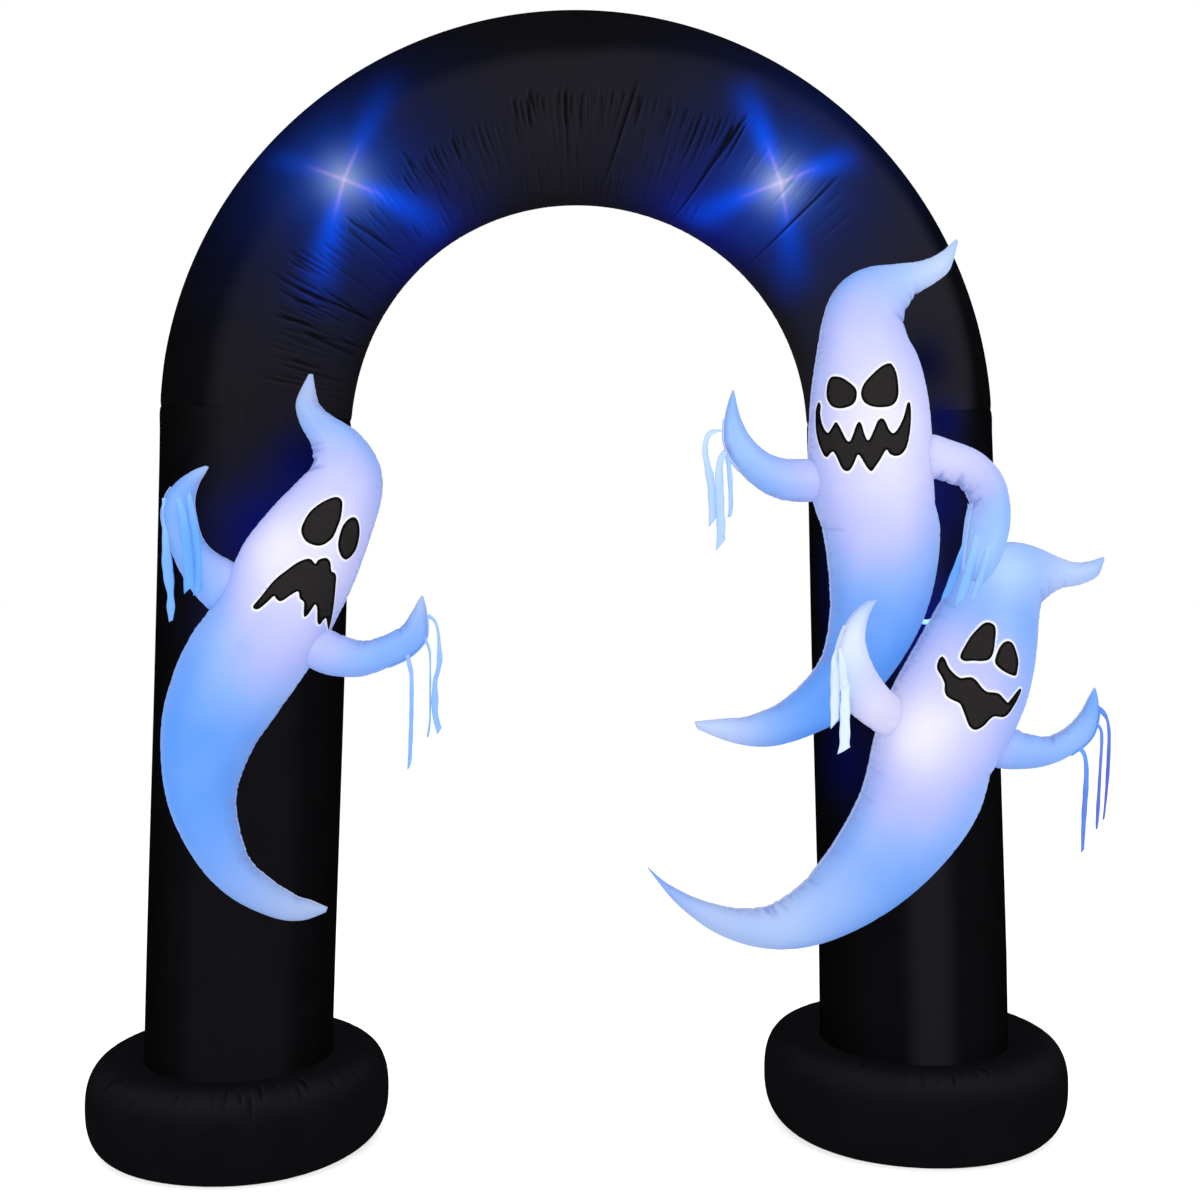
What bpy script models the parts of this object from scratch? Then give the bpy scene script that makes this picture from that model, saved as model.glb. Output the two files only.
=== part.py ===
"""An air-filled walk-through arch of black cloth, with three pale ghosts on its front.

Two leg tubes stand in ring cushions and carry a half-round bow. Each ghost is one filled body with two
sewn-on arms, dark face patches and torn strips on its hands. Metres, +Z up, the front faces -Y.
"""

from collections import namedtuple
from math import copysign, cos, degrees, pi, radians, sin

import bmesh
import bpy
from mathutils import Vector

# The arch
BOW_RADIUS = 0.79  # half-round bow, to the centreline of its tube
TUBE_RADIUS = 0.2275
SPRING_HEIGHT = 1.7225  # where the legs turn into the half circle
SEAM_ANGLE = radians(3.3)  # the round seams between legs and bow lie just above that
SEAM_DRAW = 0.004  # how far a seam draws the tube in
RING_BODY = 0.185  # width of the ring cushion before the leg flattens its inner side
RING_FLAT = 0.006  # how far the ring's round underside is pressed flat
RING_SQUARE = (0.72, 0.8)  # powers under 1 square off the ring's profile, across and up
LEG_STRAIGHT = 0.235  # up to here each leg stands upright inside its ring
GATHER_DEPTH = 0.006  # gathers along the bow's inner side
GATHER_UNEVEN = 0.4  # how much of that depth varies
GATHER_CYCLE = 2.3  # radians of that variation a step, so that neighbours differ
GATHER_SPREAD = 0.7  # a power under 1 spreads the gathers round the tube
ARCH_Y = 0.065  # the arch stands behind the origin, which is the middle of the whole object

# The legs splay, and the two feet differ a little, as sewn: how far out, the tube there, its ring cushion.
Foot = namedtuple("Foot", "out radius ring_radius ring_height")
FEET = {"left": Foot(0.845, 0.2275, 0.366, 0.215), "right": Foot(0.840, 0.2350, 0.381, 0.220)}

# Cloth
GAP = 0.0003
CLOTH = 0.0015
PATCH_REACH = 0.3  # prisms for the face patches and the bands reach this far past their middle
BAND_REACH = 0.1

# Fineness
TUBE_SIDES = 32
BOW_STEPS = 48
BODY_SIDES = 16
ARM_SIDES = 12
STEPS = 2  # cross-sections from each row of a table to the next
RING_PROFILE = 16
EGG_CORNERS = 14
STRIP_STEPS = 4

# One oval cross-section: its middle, its width and which way that leans, and its depth front to back.
Section = namedtuple("Section", "x z width lean depth y")

# The middle of each body, front to back
LEFT_Y, UPPER_Y, LOWER_Y = -0.32, -0.295, -0.32

LEFT_BODY = [
    #  x, z, width, lean, depth: crest, head, chest, curled tail
    (-0.622, 1.834, 0.012, 0, 0.012),
    (-0.630, 1.775, 0.052, 3, 0.045),
    (-0.612, 1.735, 0.076, 14, 0.065),
    (-0.575, 1.695, 0.108, 18, 0.085),
    (-0.556, 1.650, 0.145, 14, 0.115),
    (-0.560, 1.605, 0.192, 6, 0.145),
    (-0.590, 1.545, 0.248, 5, 0.190),
    (-0.632, 1.465, 0.280, 2, 0.220),
    (-0.672, 1.370, 0.283, -2, 0.230),
    (-0.712, 1.295, 0.283, -5, 0.230),
    (-0.755, 1.225, 0.277, -13, 0.225),
    (-0.812, 1.130, 0.250, -21, 0.205),
    (-0.856, 1.035, 0.215, -22, 0.180),
    (-0.873, 0.930, 0.172, -11, 0.150),
    (-0.862, 0.840, 0.143, 1, 0.125),
    (-0.822, 0.745, 0.112, 13, 0.100),
    (-0.765, 0.685, 0.097, 26, 0.088),
    (-0.690, 0.642, 0.074, 42, 0.068),
    (-0.640, 0.631, 0.052, 62, 0.048),
    (-0.596, 0.632, 0.014, 71, 0.014),
]
UPPER_BODY = [
    #  x, z, width, lean, depth
    (0.845, 2.151, 0.012, -62, 0.012),
    (0.815, 2.104, 0.048, -53, 0.045),
    (0.776, 2.080, 0.066, -50, 0.060),
    (0.725, 2.062, 0.092, -50, 0.080),
    (0.684, 2.042, 0.134, -45, 0.110),
    (0.655, 2.015, 0.170, -36, 0.135),
    (0.642, 1.975, 0.204, -28, 0.155),
    (0.645, 1.925, 0.240, -22, 0.180),
    (0.647, 1.855, 0.264, -16, 0.205),
    (0.646, 1.765, 0.282, -9, 0.225),
    (0.647, 1.655, 0.290, -3, 0.235),
    (0.655, 1.560, 0.285, -1, 0.230),
    (0.674, 1.480, 0.272, 0, 0.215),
    (0.675, 1.370, 0.246, -3, 0.195),
    (0.660, 1.275, 0.214, -6, 0.170),
    (0.622, 1.185, 0.175, -14, 0.145),
    (0.566, 1.114, 0.147, -27, 0.122),
    (0.486, 1.058, 0.114, -41, 0.098),
    (0.397, 1.026, 0.092, -54, 0.080),
    (0.320, 1.026, 0.067, -63, 0.060),
    (0.245, 1.040, 0.022, -71, 0.020),
]
LOWER_BODY = [
    #  x, z, width, lean, depth
    (1.190, 1.421, 0.014, -80, 0.014),
    (1.168, 1.400, 0.042, -64, 0.038),
    (1.130, 1.389, 0.058, -72, 0.052),
    (1.085, 1.391, 0.080, -79, 0.068),
    (1.043, 1.391, 0.124, -76, 0.095),
    (1.007, 1.386, 0.168, -66, 0.125),
    (0.970, 1.358, 0.224, -55, 0.155),
    (0.942, 1.315, 0.264, -47, 0.180),
    (0.918, 1.245, 0.276, -40, 0.205),
    (0.882, 1.160, 0.293, -34, 0.225),
    (0.829, 1.054, 0.300, -29, 0.235),
    (0.794, 0.975, 0.286, -20, 0.230),
    (0.765, 0.870, 0.276, -15, 0.215),
    (0.715, 0.780, 0.258, -17, 0.195),
    (0.645, 0.695, 0.224, -24, 0.170),
    (0.560, 0.625, 0.176, -35, 0.142),
    (0.463, 0.579, 0.138, -46, 0.118),
    (0.370, 0.573, 0.111, -59, 0.098),
    (0.275, 0.601, 0.080, -72, 0.072),
    (0.190, 0.655, 0.048, -72, 0.044),
    (0.132, 0.716, 0.012, -66, 0.012),
]

# Arms, from inside the shoulder to the tip of the hand, with the same columns and each section's own y
LEFT_RAISED = [
    (-0.735, 1.335, 0.115, 80, 0.090, -0.320),
    (-0.800, 1.348, 0.138, 78, 0.095, -0.325),
    (-0.850, 1.385, 0.118, 74, 0.092, -0.335),
    (-0.881, 1.430, 0.096, 60, 0.086, -0.345),
    (-0.899, 1.485, 0.087, 42, 0.078, -0.355),
    (-0.905, 1.540, 0.077, 19, 0.068, -0.365),
    (-0.889, 1.585, 0.062, 7, 0.052, -0.370),
    (-0.862, 1.613, 0.035, -6, 0.030, -0.370),
    (-0.842, 1.627, 0.010, -19, 0.010, -0.370),
]
LEFT_OUT = [
    (-0.690, 1.245, 0.100, 72, 0.090, -0.320),
    (-0.622, 1.232, 0.108, 73, 0.095, -0.330),
    (-0.572, 1.211, 0.098, 78, 0.090, -0.340),
    (-0.512, 1.203, 0.085, 89, 0.080, -0.350),
    (-0.456, 1.219, 0.077, 96, 0.070, -0.360),
    (-0.411, 1.243, 0.077, 106, 0.062, -0.365),
    (-0.383, 1.277, 0.074, 116, 0.050, -0.370),
    (-0.376, 1.312, 0.043, 125, 0.032, -0.370),
    (-0.375, 1.342, 0.008, 140, 0.008, -0.370),
]
UPPER_OUT = [
    (0.575, 1.602, 0.100, 100, 0.090, -0.295),
    (0.502, 1.602, 0.103, 98, 0.095, -0.300),
    (0.450, 1.602, 0.101, 93, 0.090, -0.310),
    (0.398, 1.619, 0.092, 81, 0.082, -0.320),
    (0.351, 1.658, 0.083, 69, 0.072, -0.330),
    (0.322, 1.703, 0.078, 60, 0.058, -0.340),
    (0.315, 1.756, 0.048, 53, 0.038, -0.345),
    (0.320, 1.802, 0.008, 40, 0.008, -0.345),
]
UPPER_BENT = [
    (0.705, 1.655, 0.110, 92, 0.090, -0.295),
    (0.767, 1.656, 0.114, 87, 0.095, -0.310),
    (0.814, 1.646, 0.100, 80, 0.092, -0.330),
    (0.859, 1.622, 0.098, 66, 0.088, -0.365),
    (0.882, 1.580, 0.104, 47, 0.086, -0.400),
    (0.880, 1.530, 0.113, 30, 0.084, -0.430),
    (0.872, 1.477, 0.114, 23, 0.080, -0.450),
    (0.860, 1.424, 0.100, 20, 0.070, -0.462),
    (0.855, 1.390, 0.062, 18, 0.045, -0.468),
    (0.856, 1.370, 0.014, 15, 0.012, -0.470),
]
LOWER_RAISED = [
    (0.745, 1.030, 0.095, 75, 0.085, -0.325),
    (0.690, 1.060, 0.100, 70, 0.085, -0.350),
    (0.640, 1.092, 0.102, 62, 0.082, -0.400),
    (0.588, 1.145, 0.112, 51, 0.078, -0.435),
    (0.566, 1.210, 0.092, 38, 0.070, -0.452),
    (0.571, 1.265, 0.066, 29, 0.056, -0.460),
    (0.590, 1.308, 0.044, 17, 0.038, -0.460),
    (0.612, 1.331, 0.012, 5, 0.012, -0.460),
]
LOWER_OUT = [
    (0.872, 1.005, 0.100, 66, 0.090, -0.320),
    (0.947, 0.989, 0.107, 67, 0.095, -0.330),
    (0.997, 0.979, 0.089, 75, 0.084, -0.340),
    (1.050, 0.981, 0.073, 86, 0.070, -0.350),
    (1.096, 1.003, 0.068, 99, 0.060, -0.360),
    (1.134, 1.040, 0.064, 117, 0.050, -0.365),
    (1.151, 1.090, 0.042, 124, 0.034, -0.370),
    (1.154, 1.127, 0.008, 140, 0.008, -0.370),
]

# Eyes are egg shapes: middle, width, height, lean of the long axis, and how much narrower the top is.
EYES = {
    "left": [(-0.587, 1.507, 0.074, 0.110, -30, 0.15), (-0.530, 1.471, 0.046, 0.090, -12, 0.10)],
    "upper": [(0.557, 1.795, 0.060, 0.074, 32, 0.22), (0.640, 1.809, 0.078, 0.104, -32, 0.22)],
    "lower": [(0.866, 1.238, 0.066, 0.086, -20, 0.35), (0.930, 1.198, 0.044, 0.076, 12, 0.30)],
}
# Mouths run from one corner to the other: how far across, and the upper and lower edge there.
MOUTHS = {
    "left": [
        (-0.088, -0.030, -0.042),
        (-0.063, -0.004, -0.026),
        (-0.032, 0.026, -0.022),
        (-0.008, 0.048, -0.006),
        (0.012, 0.062, -0.052),
        (0.030, 0.066, -0.030),
        (0.044, 0.060, -0.078),
        (0.058, 0.068, -0.058),
        (0.070, 0.048, -0.086),
        (0.082, 0.030, -0.034),
    ],
    "upper": [
        (-0.102, 0.072, 0.056),
        (-0.093, 0.022, -0.032),
        (-0.078, 0.000, -0.052),
        (-0.060, 0.024, -0.038),
        (-0.036, -0.014, -0.078),
        (-0.010, 0.028, -0.046),
        (0.016, -0.014, -0.080),
        (0.044, 0.030, -0.040),
        (0.066, 0.000, -0.052),
        (0.090, 0.026, -0.032),
        (0.102, 0.070, 0.054),
    ],
    "lower": [
        (-0.116, 0.046, 0.034),
        (-0.104, 0.036, 0.006),
        (-0.080, 0.022, -0.012),
        (-0.055, 0.020, -0.034),
        (-0.030, 0.022, -0.038),
        (-0.006, 0.018, -0.064),
        (0.018, 0.012, -0.076),
        (0.038, 0.016, -0.052),
        (0.052, 0.014, -0.030),
        (0.070, 0.010, -0.020),
        (0.080, 0.046, 0.036),
    ],
}
# Where each mouth lies, and its lean
MOUTH_PLACES = {"left": (-0.645, 1.360, 0), "upper": (0.597, 1.702, 0), "lower": (0.865, 1.120, -22)}

# The band that holds a hand's strips follows the hand's lower edge, between two rows of the arm's table.
BAND_WIDTH = 0.018
STRIP_TAPER = 0.25  # share of its width that a strip loses by its free end
BANDS = {
    "left_raised": (4.0, 6.0),
    "left_out": (4.5, 7.0),
    "upper_out": (4.0, 6.0),
    "upper_bent": (4.5, 7.5),
    "lower_raised": (4.0, 5.5),
    "lower_out": (4.0, 6.0),
}
# Torn strips: place along the band (0 to 1), length, sideways drift, width, sway, how far forward they hang
STRIPS = {
    "left_raised": [
        (0.35, 0.220, 0.012, 0.018, 0.006, 0.000),
        (0.54, 0.175, 0.030, 0.018, 0.004, 0.052),
        (0.76, 0.220, 0.046, 0.018, -0.004, 0.060),
    ],
    "left_out": [
        (0.14, 0.250, 0.002, 0.012, 0.001, 0.000),
        (0.58, 0.215, -0.004, 0.010, -0.003, 0.012),
        (0.85, 0.235, 0.028, 0.016, 0.010, 0.000),
    ],
    "upper_out": [
        (0.85, 0.210, -0.036, 0.014, -0.008, -0.012),
        (0.52, 0.235, -0.024, 0.018, -0.004, 0.010),
        (0.22, 0.140, -0.004, 0.012, 0.004, -0.008),
    ],
    "upper_bent": [
        (0.14, 0.150, -0.040, 0.022, -0.004, 0.026),
        (0.46, 0.155, -0.052, 0.020, -0.006, 0.014),
        (0.78, 0.110, -0.052, 0.018, -0.006, 0.002),
    ],
    "lower_raised": [
        (0.15, 0.185, 0.012, 0.020, 0.004, 0.010),
        (0.50, 0.125, -0.012, 0.016, -0.003, -0.004),
        (0.85, 0.130, -0.032, 0.014, -0.005, 0.008),
    ],
    "lower_out": [
        (0.30, 0.235, 0.008, 0.015, 0.004, 0.000),
        (0.66, 0.215, 0.008, 0.010, 0.003, 0.008),
        (0.88, 0.225, 0.024, 0.011, 0.008, 0.000),
    ],
}
# Straps: the x and y of both ends, the height and the width. The tab runs from the upper ghost to the leg,
# and the tie between the two ghosts on the right.
TAB = ((0.520, -0.292), (0.600, -0.120), 1.692, 0.016)
TIE = ((0.735, -0.300), (0.830, -0.318), 1.278, 0.012)


def cloth(name, colour, roughness):
    """A woven polyester finish."""
    made = bpy.data.materials.new(name)
    made.use_nodes = True
    shader = made.node_tree.nodes["Principled BSDF"]
    shader.inputs["Base Color"].default_value = (*colour, 1.0)
    shader.inputs["Roughness"].default_value = roughness
    shader.inputs["Metallic"].default_value = 0.0
    return made


def add_object(name, shape, finish=None):
    """A named object from a bmesh. Without a finish it is a guide that only cuts others."""
    bmesh.ops.recalc_face_normals(shape, faces=shape.faces)
    mesh = bpy.data.meshes.new(name)
    shape.to_mesh(mesh)
    shape.free()
    made = bpy.data.objects.new(name, mesh)
    bpy.context.scene.collection.objects.link(made)
    made.parent = arch_plane
    if finish:
        mesh.materials.append(finish)
        mesh.shade_smooth()
        mesh.set_sharp_from_angle(angle=radians(45))
    else:
        made.hide_render = True
        made.display_type = "WIRE"
    return made


def change(target, operation, *others, solver="EXACT"):
    """Booleans on target with each of the others."""
    for other in others:
        step = target.modifiers.new(other.name, "BOOLEAN")
        step.operation = operation
        step.solver = solver
        step.object = other


def smooth(rows, steps, closed=False):
    """A soft curve through rows of numbers, with `steps` places from each row to the next."""
    count = len(rows)
    at = (lambda i: rows[i % count]) if closed else (lambda i: rows[min(max(i, 0), count - 1)])
    places = []
    for i in range(count if closed else count - 1):
        for step in range(steps):
            t = step / steps
            places.append(
                [
                    b + 0.5 * t * (c - a + t * (2 * a - 5 * b + 4 * c - d + t * (3 * (b - c) + d - a)))
                    for a, b, c, d in zip(at(i - 1), at(i), at(i + 1), at(i + 2))
                ]
            )
    return places if closed else places + [list(rows[-1])]


def oval(section, sides, grow=0.0, gather=0.0):
    """Corners of one cross-section. A gather draws in its inner side, which faces away from its lean."""
    lean = radians(section.lean)
    corners = []
    for side in range(sides):
        turn = 2 * pi * side / sides
        inner = max(0.0, -cos(turn)) ** GATHER_SPREAD
        half_width = section.width / 2 + grow - gather * inner
        half_depth = section.depth / 2 + grow
        across, front = half_width * cos(turn), -half_depth * sin(turn)
        place = (section.x + across * cos(lean), section.y + front, section.z + across * sin(lean))
        corners.append(Vector(place))
    return corners


def skin(rings):
    """A closed shape over a row of rings that have the same number of corners."""
    shape = bmesh.new()
    loops = [[shape.verts.new(corner) for corner in ring] for ring in rings]
    for near, far in zip(loops, loops[1:]):
        for i, corner in enumerate(near):
            j = (i + 1) % len(near)
            shape.faces.new((corner, near[j], far[j]))
            shape.faces.new((corner, far[j], far[i]))
    shape.faces.new(loops[0])
    shape.faces.new(loops[-1])
    return shape


def prism(outline, front, back):
    """A flat outline in the XZ plane, given thickness along Y from its front to its back."""
    shape = bmesh.new()
    face = shape.faces.new([shape.verts.new((x, front, z)) for x, z in outline])
    grown = bmesh.ops.extrude_face_region(shape, geom=[face])
    moved = [part for part in grown["geom"] if isinstance(part, bmesh.types.BMVert)]
    bmesh.ops.translate(shape, verts=moved, vec=(0, back - front, 0))
    return shape


def leg_sections(foot, side, past=-GAP):
    """Straight up inside the ring, then leaning in to the spring line and to just below or past the seam."""
    straight = Vector((foot.out, 0, LEG_STRAIGHT))
    spring = Vector((BOW_RADIUS, 0, SPRING_HEIGHT))
    seam = spring + BOW_RADIUS * Vector((cos(SEAM_ANGLE) - 1, 0, sin(SEAM_ANGLE)))
    seam += past * Vector((-sin(SEAM_ANGLE), 0, cos(SEAM_ANGLE)))
    places = [(Vector((foot.out, 0, 0)), foot.radius, 0), (straight, foot.radius, 0)]
    for share in (0.5, 0.97):
        radius = foot.radius + (TUBE_RADIUS - foot.radius) * share
        places.append((straight.lerp(spring, share), radius, 0))
    places.append((seam, TUBE_RADIUS - SEAM_DRAW, degrees(SEAM_ANGLE)))
    return [Section(side * at.x, at.z, 2 * size, side * lean, 2 * size, 0) for at, size, lean in places]


def bow_rings(grow=0.0):
    """Rings round the half circle, drawn in at both seams and gathered unevenly along the inner side."""
    rings = []
    for step in range(BOW_STEPS + 1):
        angle = SEAM_ANGLE + (pi - 2 * SEAM_ANGLE) * step / BOW_STEPS
        at_seam = step in (0, BOW_STEPS)
        size = 2 * (TUBE_RADIUS - (SEAM_DRAW if at_seam else 0))
        x, z = BOW_RADIUS * cos(angle), SPRING_HEIGHT + BOW_RADIUS * sin(angle)
        depth = GATHER_DEPTH * (1 - GATHER_UNEVEN + GATHER_UNEVEN * sin(GATHER_CYCLE * step))
        gather = 0 if at_seam or step % 2 else depth
        rings.append(oval(Section(x, z, size, degrees(angle), size, 0), TUBE_SIDES, grow, gather))
    return rings


def ring_cushion(name, foot, side):
    """A fat ring turned round the foot of a leg: flat on the floor and against the leg."""
    x = side * foot.out
    inner = foot.radius + GAP
    middle = foot.ring_radius - RING_BODY / 2
    profile = []
    for step in range(RING_PROFILE):
        turn = 2 * pi * (step + 0.5) / RING_PROFILE
        across, up = cos(turn), sin(turn)
        radius = middle + RING_BODY / 2 * copysign(abs(across) ** RING_SQUARE[0], across)
        rise = (foot.ring_height + RING_FLAT) / 2
        height = rise * (1 + copysign(abs(up) ** RING_SQUARE[1], up)) - RING_FLAT
        corner = (max(radius, inner), max(height, 0.0))
        if corner not in profile:
            profile.append(corner)
    shape = bmesh.new()
    corners = [shape.verts.new((x + radius, 0, height)) for radius, height in profile]
    edges = [shape.edges.new((corner, corners[i - 1])) for i, corner in enumerate(corners)]
    bmesh.ops.spin(
        shape,
        geom=corners + edges,
        cent=(x, 0, 0),
        axis=(0, 0, 1),
        angle=2 * pi,
        steps=TUBE_SIDES,
        use_merge=True,
    )
    return add_object(name, shape, black)


def soft_piece(name, sections, sides, finish):
    """A filled body or arm with its two guides: the room it needs, and the outside of cloth laid on it."""
    piece = add_object(name, skin([oval(s, sides) for s in sections]), finish)
    room = add_object(name + "_room", skin([oval(s, sides, GAP) for s in sections]))
    outside = add_object(name + "_outside", skin([oval(s, sides, GAP + CLOTH) for s in sections]))
    return piece, room, outside


def laid_on(name, shape, finish, room, outside):
    """A thin piece of cloth: the part of a prism that lies on a filled piece."""
    piece = add_object(name, shape, finish)
    change(piece, "INTERSECT", outside)
    change(piece, "DIFFERENCE", room)
    return piece


def egg(x, z, width, height, lean, narrow):
    """An eye's outline."""
    c, s = cos(radians(lean)), sin(radians(lean))
    outline = []
    for corner in range(EGG_CORNERS):
        turn = 2 * pi * corner / EGG_CORNERS
        up = height / 2 * sin(turn)
        across = width / 2 * cos(turn) * (1 - narrow * sin(turn))
        outline.append((x + across * c - up * s, z + across * s + up * c))
    return outline


def mouth(rows, x, z, lean):
    """A mouth's outline: its upper edge one way, its lower edge back."""
    c, s = cos(radians(lean)), sin(radians(lean))
    edge = [(across, top) for across, top, bottom in rows]
    edge += [(across, bottom) for across, top, bottom in reversed(rows)]
    return [(x + across * c - up * s, z + across * s + up * c) for across, up in smooth(edge, 2, closed=True)]


def strip(root, length, drift, width, sway, forward):
    """Rings of one limp strip, from its root inside the band to its free end."""
    rings = []
    for step in range(STRIP_STEPS + 1):
        t = step / STRIP_STEPS
        x = root.x + drift * t + sway * sin(pi * t)
        y = root.y - forward * min(1.0, 2 * t)
        z = root.z - length * t
        half, thin = width / 2 * (1 - STRIP_TAPER * t), CLOTH / 2
        corners = ((half, -thin), (half, thin), (-half, thin), (-half, -thin))
        rings.append([Vector((x + across, y + front, z)) for across, front in corners])
    return rings


def fringe(name, hand, sections, room, outside):
    """The torn strips of one hand, fused at their roots in a narrow band round the hand's lower edge.

    The strips leave the thin band almost along its face, where only the MANIFOLD solver is sure.
    """
    first, last = (round(row * STEPS) for row in BANDS[hand])
    edge = []
    for section in sections[first : last + 1]:
        inward = Vector((cos(radians(section.lean)), 0, sin(radians(section.lean))))
        middle = Vector((section.x, section.y, section.z))
        edge.append((middle - inward * section.width / 2, inward))
    outer = [place - inward * BAND_WIDTH for place, inward in edge]
    inner = [place + inward * BAND_WIDTH for place, inward in reversed(edge)]
    outline = [(corner.x, corner.z) for corner in outer + inner]
    front, back = edge[0][0].y - BAND_REACH, edge[0][0].y + BAND_REACH
    piece = add_object(name, prism(outline, front, back), white)
    change(piece, "INTERSECT", outside, solver="MANIFOLD")
    for number, (share, *row) in enumerate(STRIPS[hand]):
        before = int(share * (len(edge) - 1))
        (place, inward), (after, _) = edge[before], edge[before + 1]
        root = place.lerp(after, share * (len(edge) - 1) - before) + inward * BAND_WIDTH / 3
        limp = add_object(f"{name}_strip_{number}", skin(strip(root, *row)))
        change(piece, "UNION", limp, solver="MANIFOLD")
    change(piece, "DIFFERENCE", room, solver="MANIFOLD")
    return piece


def strap(name, places, *rooms):
    """A short flat strap between two pieces, on edge, cut back to the faces that it is sewn to."""
    start, end, height, width = places
    along = Vector((end[0] - start[0], end[1] - start[1])).normalized()
    thin = Vector((-along.y, along.x)) * CLOTH / 2
    rings = []
    for x, y in (start, end):
        rings.append(
            [
                Vector((x + out * thin.x, y + out * thin.y, height + up * width / 2))
                for out, up in ((-1, -1), (1, -1), (1, 1), (-1, 1))
            ]
        )
    piece = add_object(name, skin(rings), white)
    change(piece, "DIFFERENCE", *rooms)
    return piece


for thing in list(bpy.data.objects):
    bpy.data.objects.remove(thing)

arch_plane = bpy.data.objects.new("arch_plane", None)
bpy.context.scene.collection.objects.link(arch_plane)
arch_plane.location.y = ARCH_Y

black = cloth("black_polyester", (0.010, 0.010, 0.012), 0.55)
pale = cloth("pale_blue_polyester", (0.55, 0.68, 0.95), 0.6)
white = cloth("white_polyester", (0.70, 0.78, 0.95), 0.6)
dark = cloth("dark_face_cloth", (0.03, 0.03, 0.03), 0.8)

# The arch: legs, bow and base rings
rooms = {}
for side_name, side in (("left", -1), ("right", 1)):
    foot = FEET[side_name]
    add_object(f"leg_{side_name}", skin([oval(s, TUBE_SIDES) for s in leg_sections(foot, side)]), black)
    over_seam = [oval(s, TUBE_SIDES, GAP) for s in leg_sections(foot, side, SEAM_DRAW)]
    rooms[side_name] = add_object(f"leg_{side_name}_room", skin(over_seam))
    ring_cushion(f"base_ring_{side_name}", foot, side)
add_object("bow", skin(bow_rings()), black)
rooms["bow"] = add_object("bow_room", skin(bow_rings(GAP)))

# The ghosts: what each body is pressed against, and its arms
GHOSTS = {
    "left": (LEFT_BODY, LEFT_Y, ("left",), {"raised": LEFT_RAISED, "out": LEFT_OUT}),
    "upper": (UPPER_BODY, UPPER_Y, ("right", "bow"), {"out": UPPER_OUT, "bent": UPPER_BENT}),
    "lower": (LOWER_BODY, LOWER_Y, ("right",), {"raised": LOWER_RAISED, "out": LOWER_OUT}),
}
body_rooms = {}
for ghost, (rows, y, backs, arms) in GHOSTS.items():
    sections = [Section(*row, y) for row in smooth(rows, STEPS)]
    body, body_room, body_outside = soft_piece(f"ghost_{ghost}_body", sections, BODY_SIDES, pale)
    change(body, "DIFFERENCE", *(rooms[back] for back in backs))
    body_rooms[ghost] = body_room
    front = y - PATCH_REACH
    for number, row in enumerate(EYES[ghost], 1):
        shape = prism(egg(*row), front, y)
        laid_on(f"ghost_{ghost}_eye_{number}", shape, dark, body_room, body_outside)
    shape = prism(mouth(MOUTHS[ghost], *MOUTH_PLACES[ghost]), front, y)
    laid_on(f"ghost_{ghost}_mouth", shape, dark, body_room, body_outside)
    for arm_name, arm_rows in arms.items():
        sections = [Section(*row) for row in smooth(arm_rows, STEPS)]
        name = f"ghost_{ghost}_arm_{arm_name}"
        arm, arm_room, arm_outside = soft_piece(name, sections, ARM_SIDES, pale)
        change(arm, "DIFFERENCE", body_room)
        fringe(f"ghost_{ghost}_fringe_{arm_name}", f"{ghost}_{arm_name}", sections, arm_room, arm_outside)

strap("tab", TAB, body_rooms["upper"], rooms["right"])
strap("tie", TIE, body_rooms["upper"], body_rooms["lower"])
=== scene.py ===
from math import hypot, pi, radians, sin
from random import Random

import bmesh
import bpy
import numpy as np
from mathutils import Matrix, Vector
from mathutils.bvhtree import BVHTree
from mathutils.geometry import delaunay_2d_cdt


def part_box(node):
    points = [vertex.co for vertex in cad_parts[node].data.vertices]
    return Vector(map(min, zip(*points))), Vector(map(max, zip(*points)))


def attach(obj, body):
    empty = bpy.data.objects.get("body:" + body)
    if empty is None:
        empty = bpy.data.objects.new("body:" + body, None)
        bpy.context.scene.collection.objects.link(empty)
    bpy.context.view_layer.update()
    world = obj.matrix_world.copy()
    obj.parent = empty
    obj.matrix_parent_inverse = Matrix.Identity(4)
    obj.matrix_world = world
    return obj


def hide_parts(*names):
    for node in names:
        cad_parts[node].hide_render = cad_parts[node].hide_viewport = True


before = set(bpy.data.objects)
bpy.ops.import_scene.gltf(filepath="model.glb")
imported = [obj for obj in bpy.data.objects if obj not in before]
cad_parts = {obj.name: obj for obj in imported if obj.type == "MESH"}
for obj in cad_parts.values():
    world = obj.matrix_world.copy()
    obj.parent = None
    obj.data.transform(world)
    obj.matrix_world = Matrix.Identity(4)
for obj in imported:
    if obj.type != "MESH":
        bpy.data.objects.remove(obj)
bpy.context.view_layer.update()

# ---------------------------------------------------------------- camera, floor and light
# The camera stands a little left of the middle, at head height, as the photo does. The studio is a pale floor
# with a white surround and soft boxes. The dim highlights on the black cloth are painted, as its sheen.
ARCH_Y = sum(corner.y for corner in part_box("bow")) / 2  # the plane in which the arch stands
CAMERA_AWAY = 3.808
CAMERA_X, CAMERA_HEIGHT = -0.218, 1.481
CAMERA_TURN, CAMERA_TILT = radians(-3.94), radians(2.477)
FOCAL_PIXELS, IMAGE_PIXELS, SENSOR_MM = 1545, 1200, 36

camera = bpy.data.objects.new("camera", bpy.data.cameras.new("camera"))
bpy.context.scene.collection.objects.link(camera)
camera.location = (CAMERA_X, ARCH_Y - CAMERA_AWAY, CAMERA_HEIGHT)
camera.rotation_euler = (pi / 2 - CAMERA_TILT, 0, CAMERA_TURN)
camera.data.sensor_width = SENSOR_MM
camera.data.lens = SENSOR_MM * FOCAL_PIXELS / IMAGE_PIXELS
bpy.context.scene.camera = camera
bpy.context.scene.view_settings.view_transform = "Standard"


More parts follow.
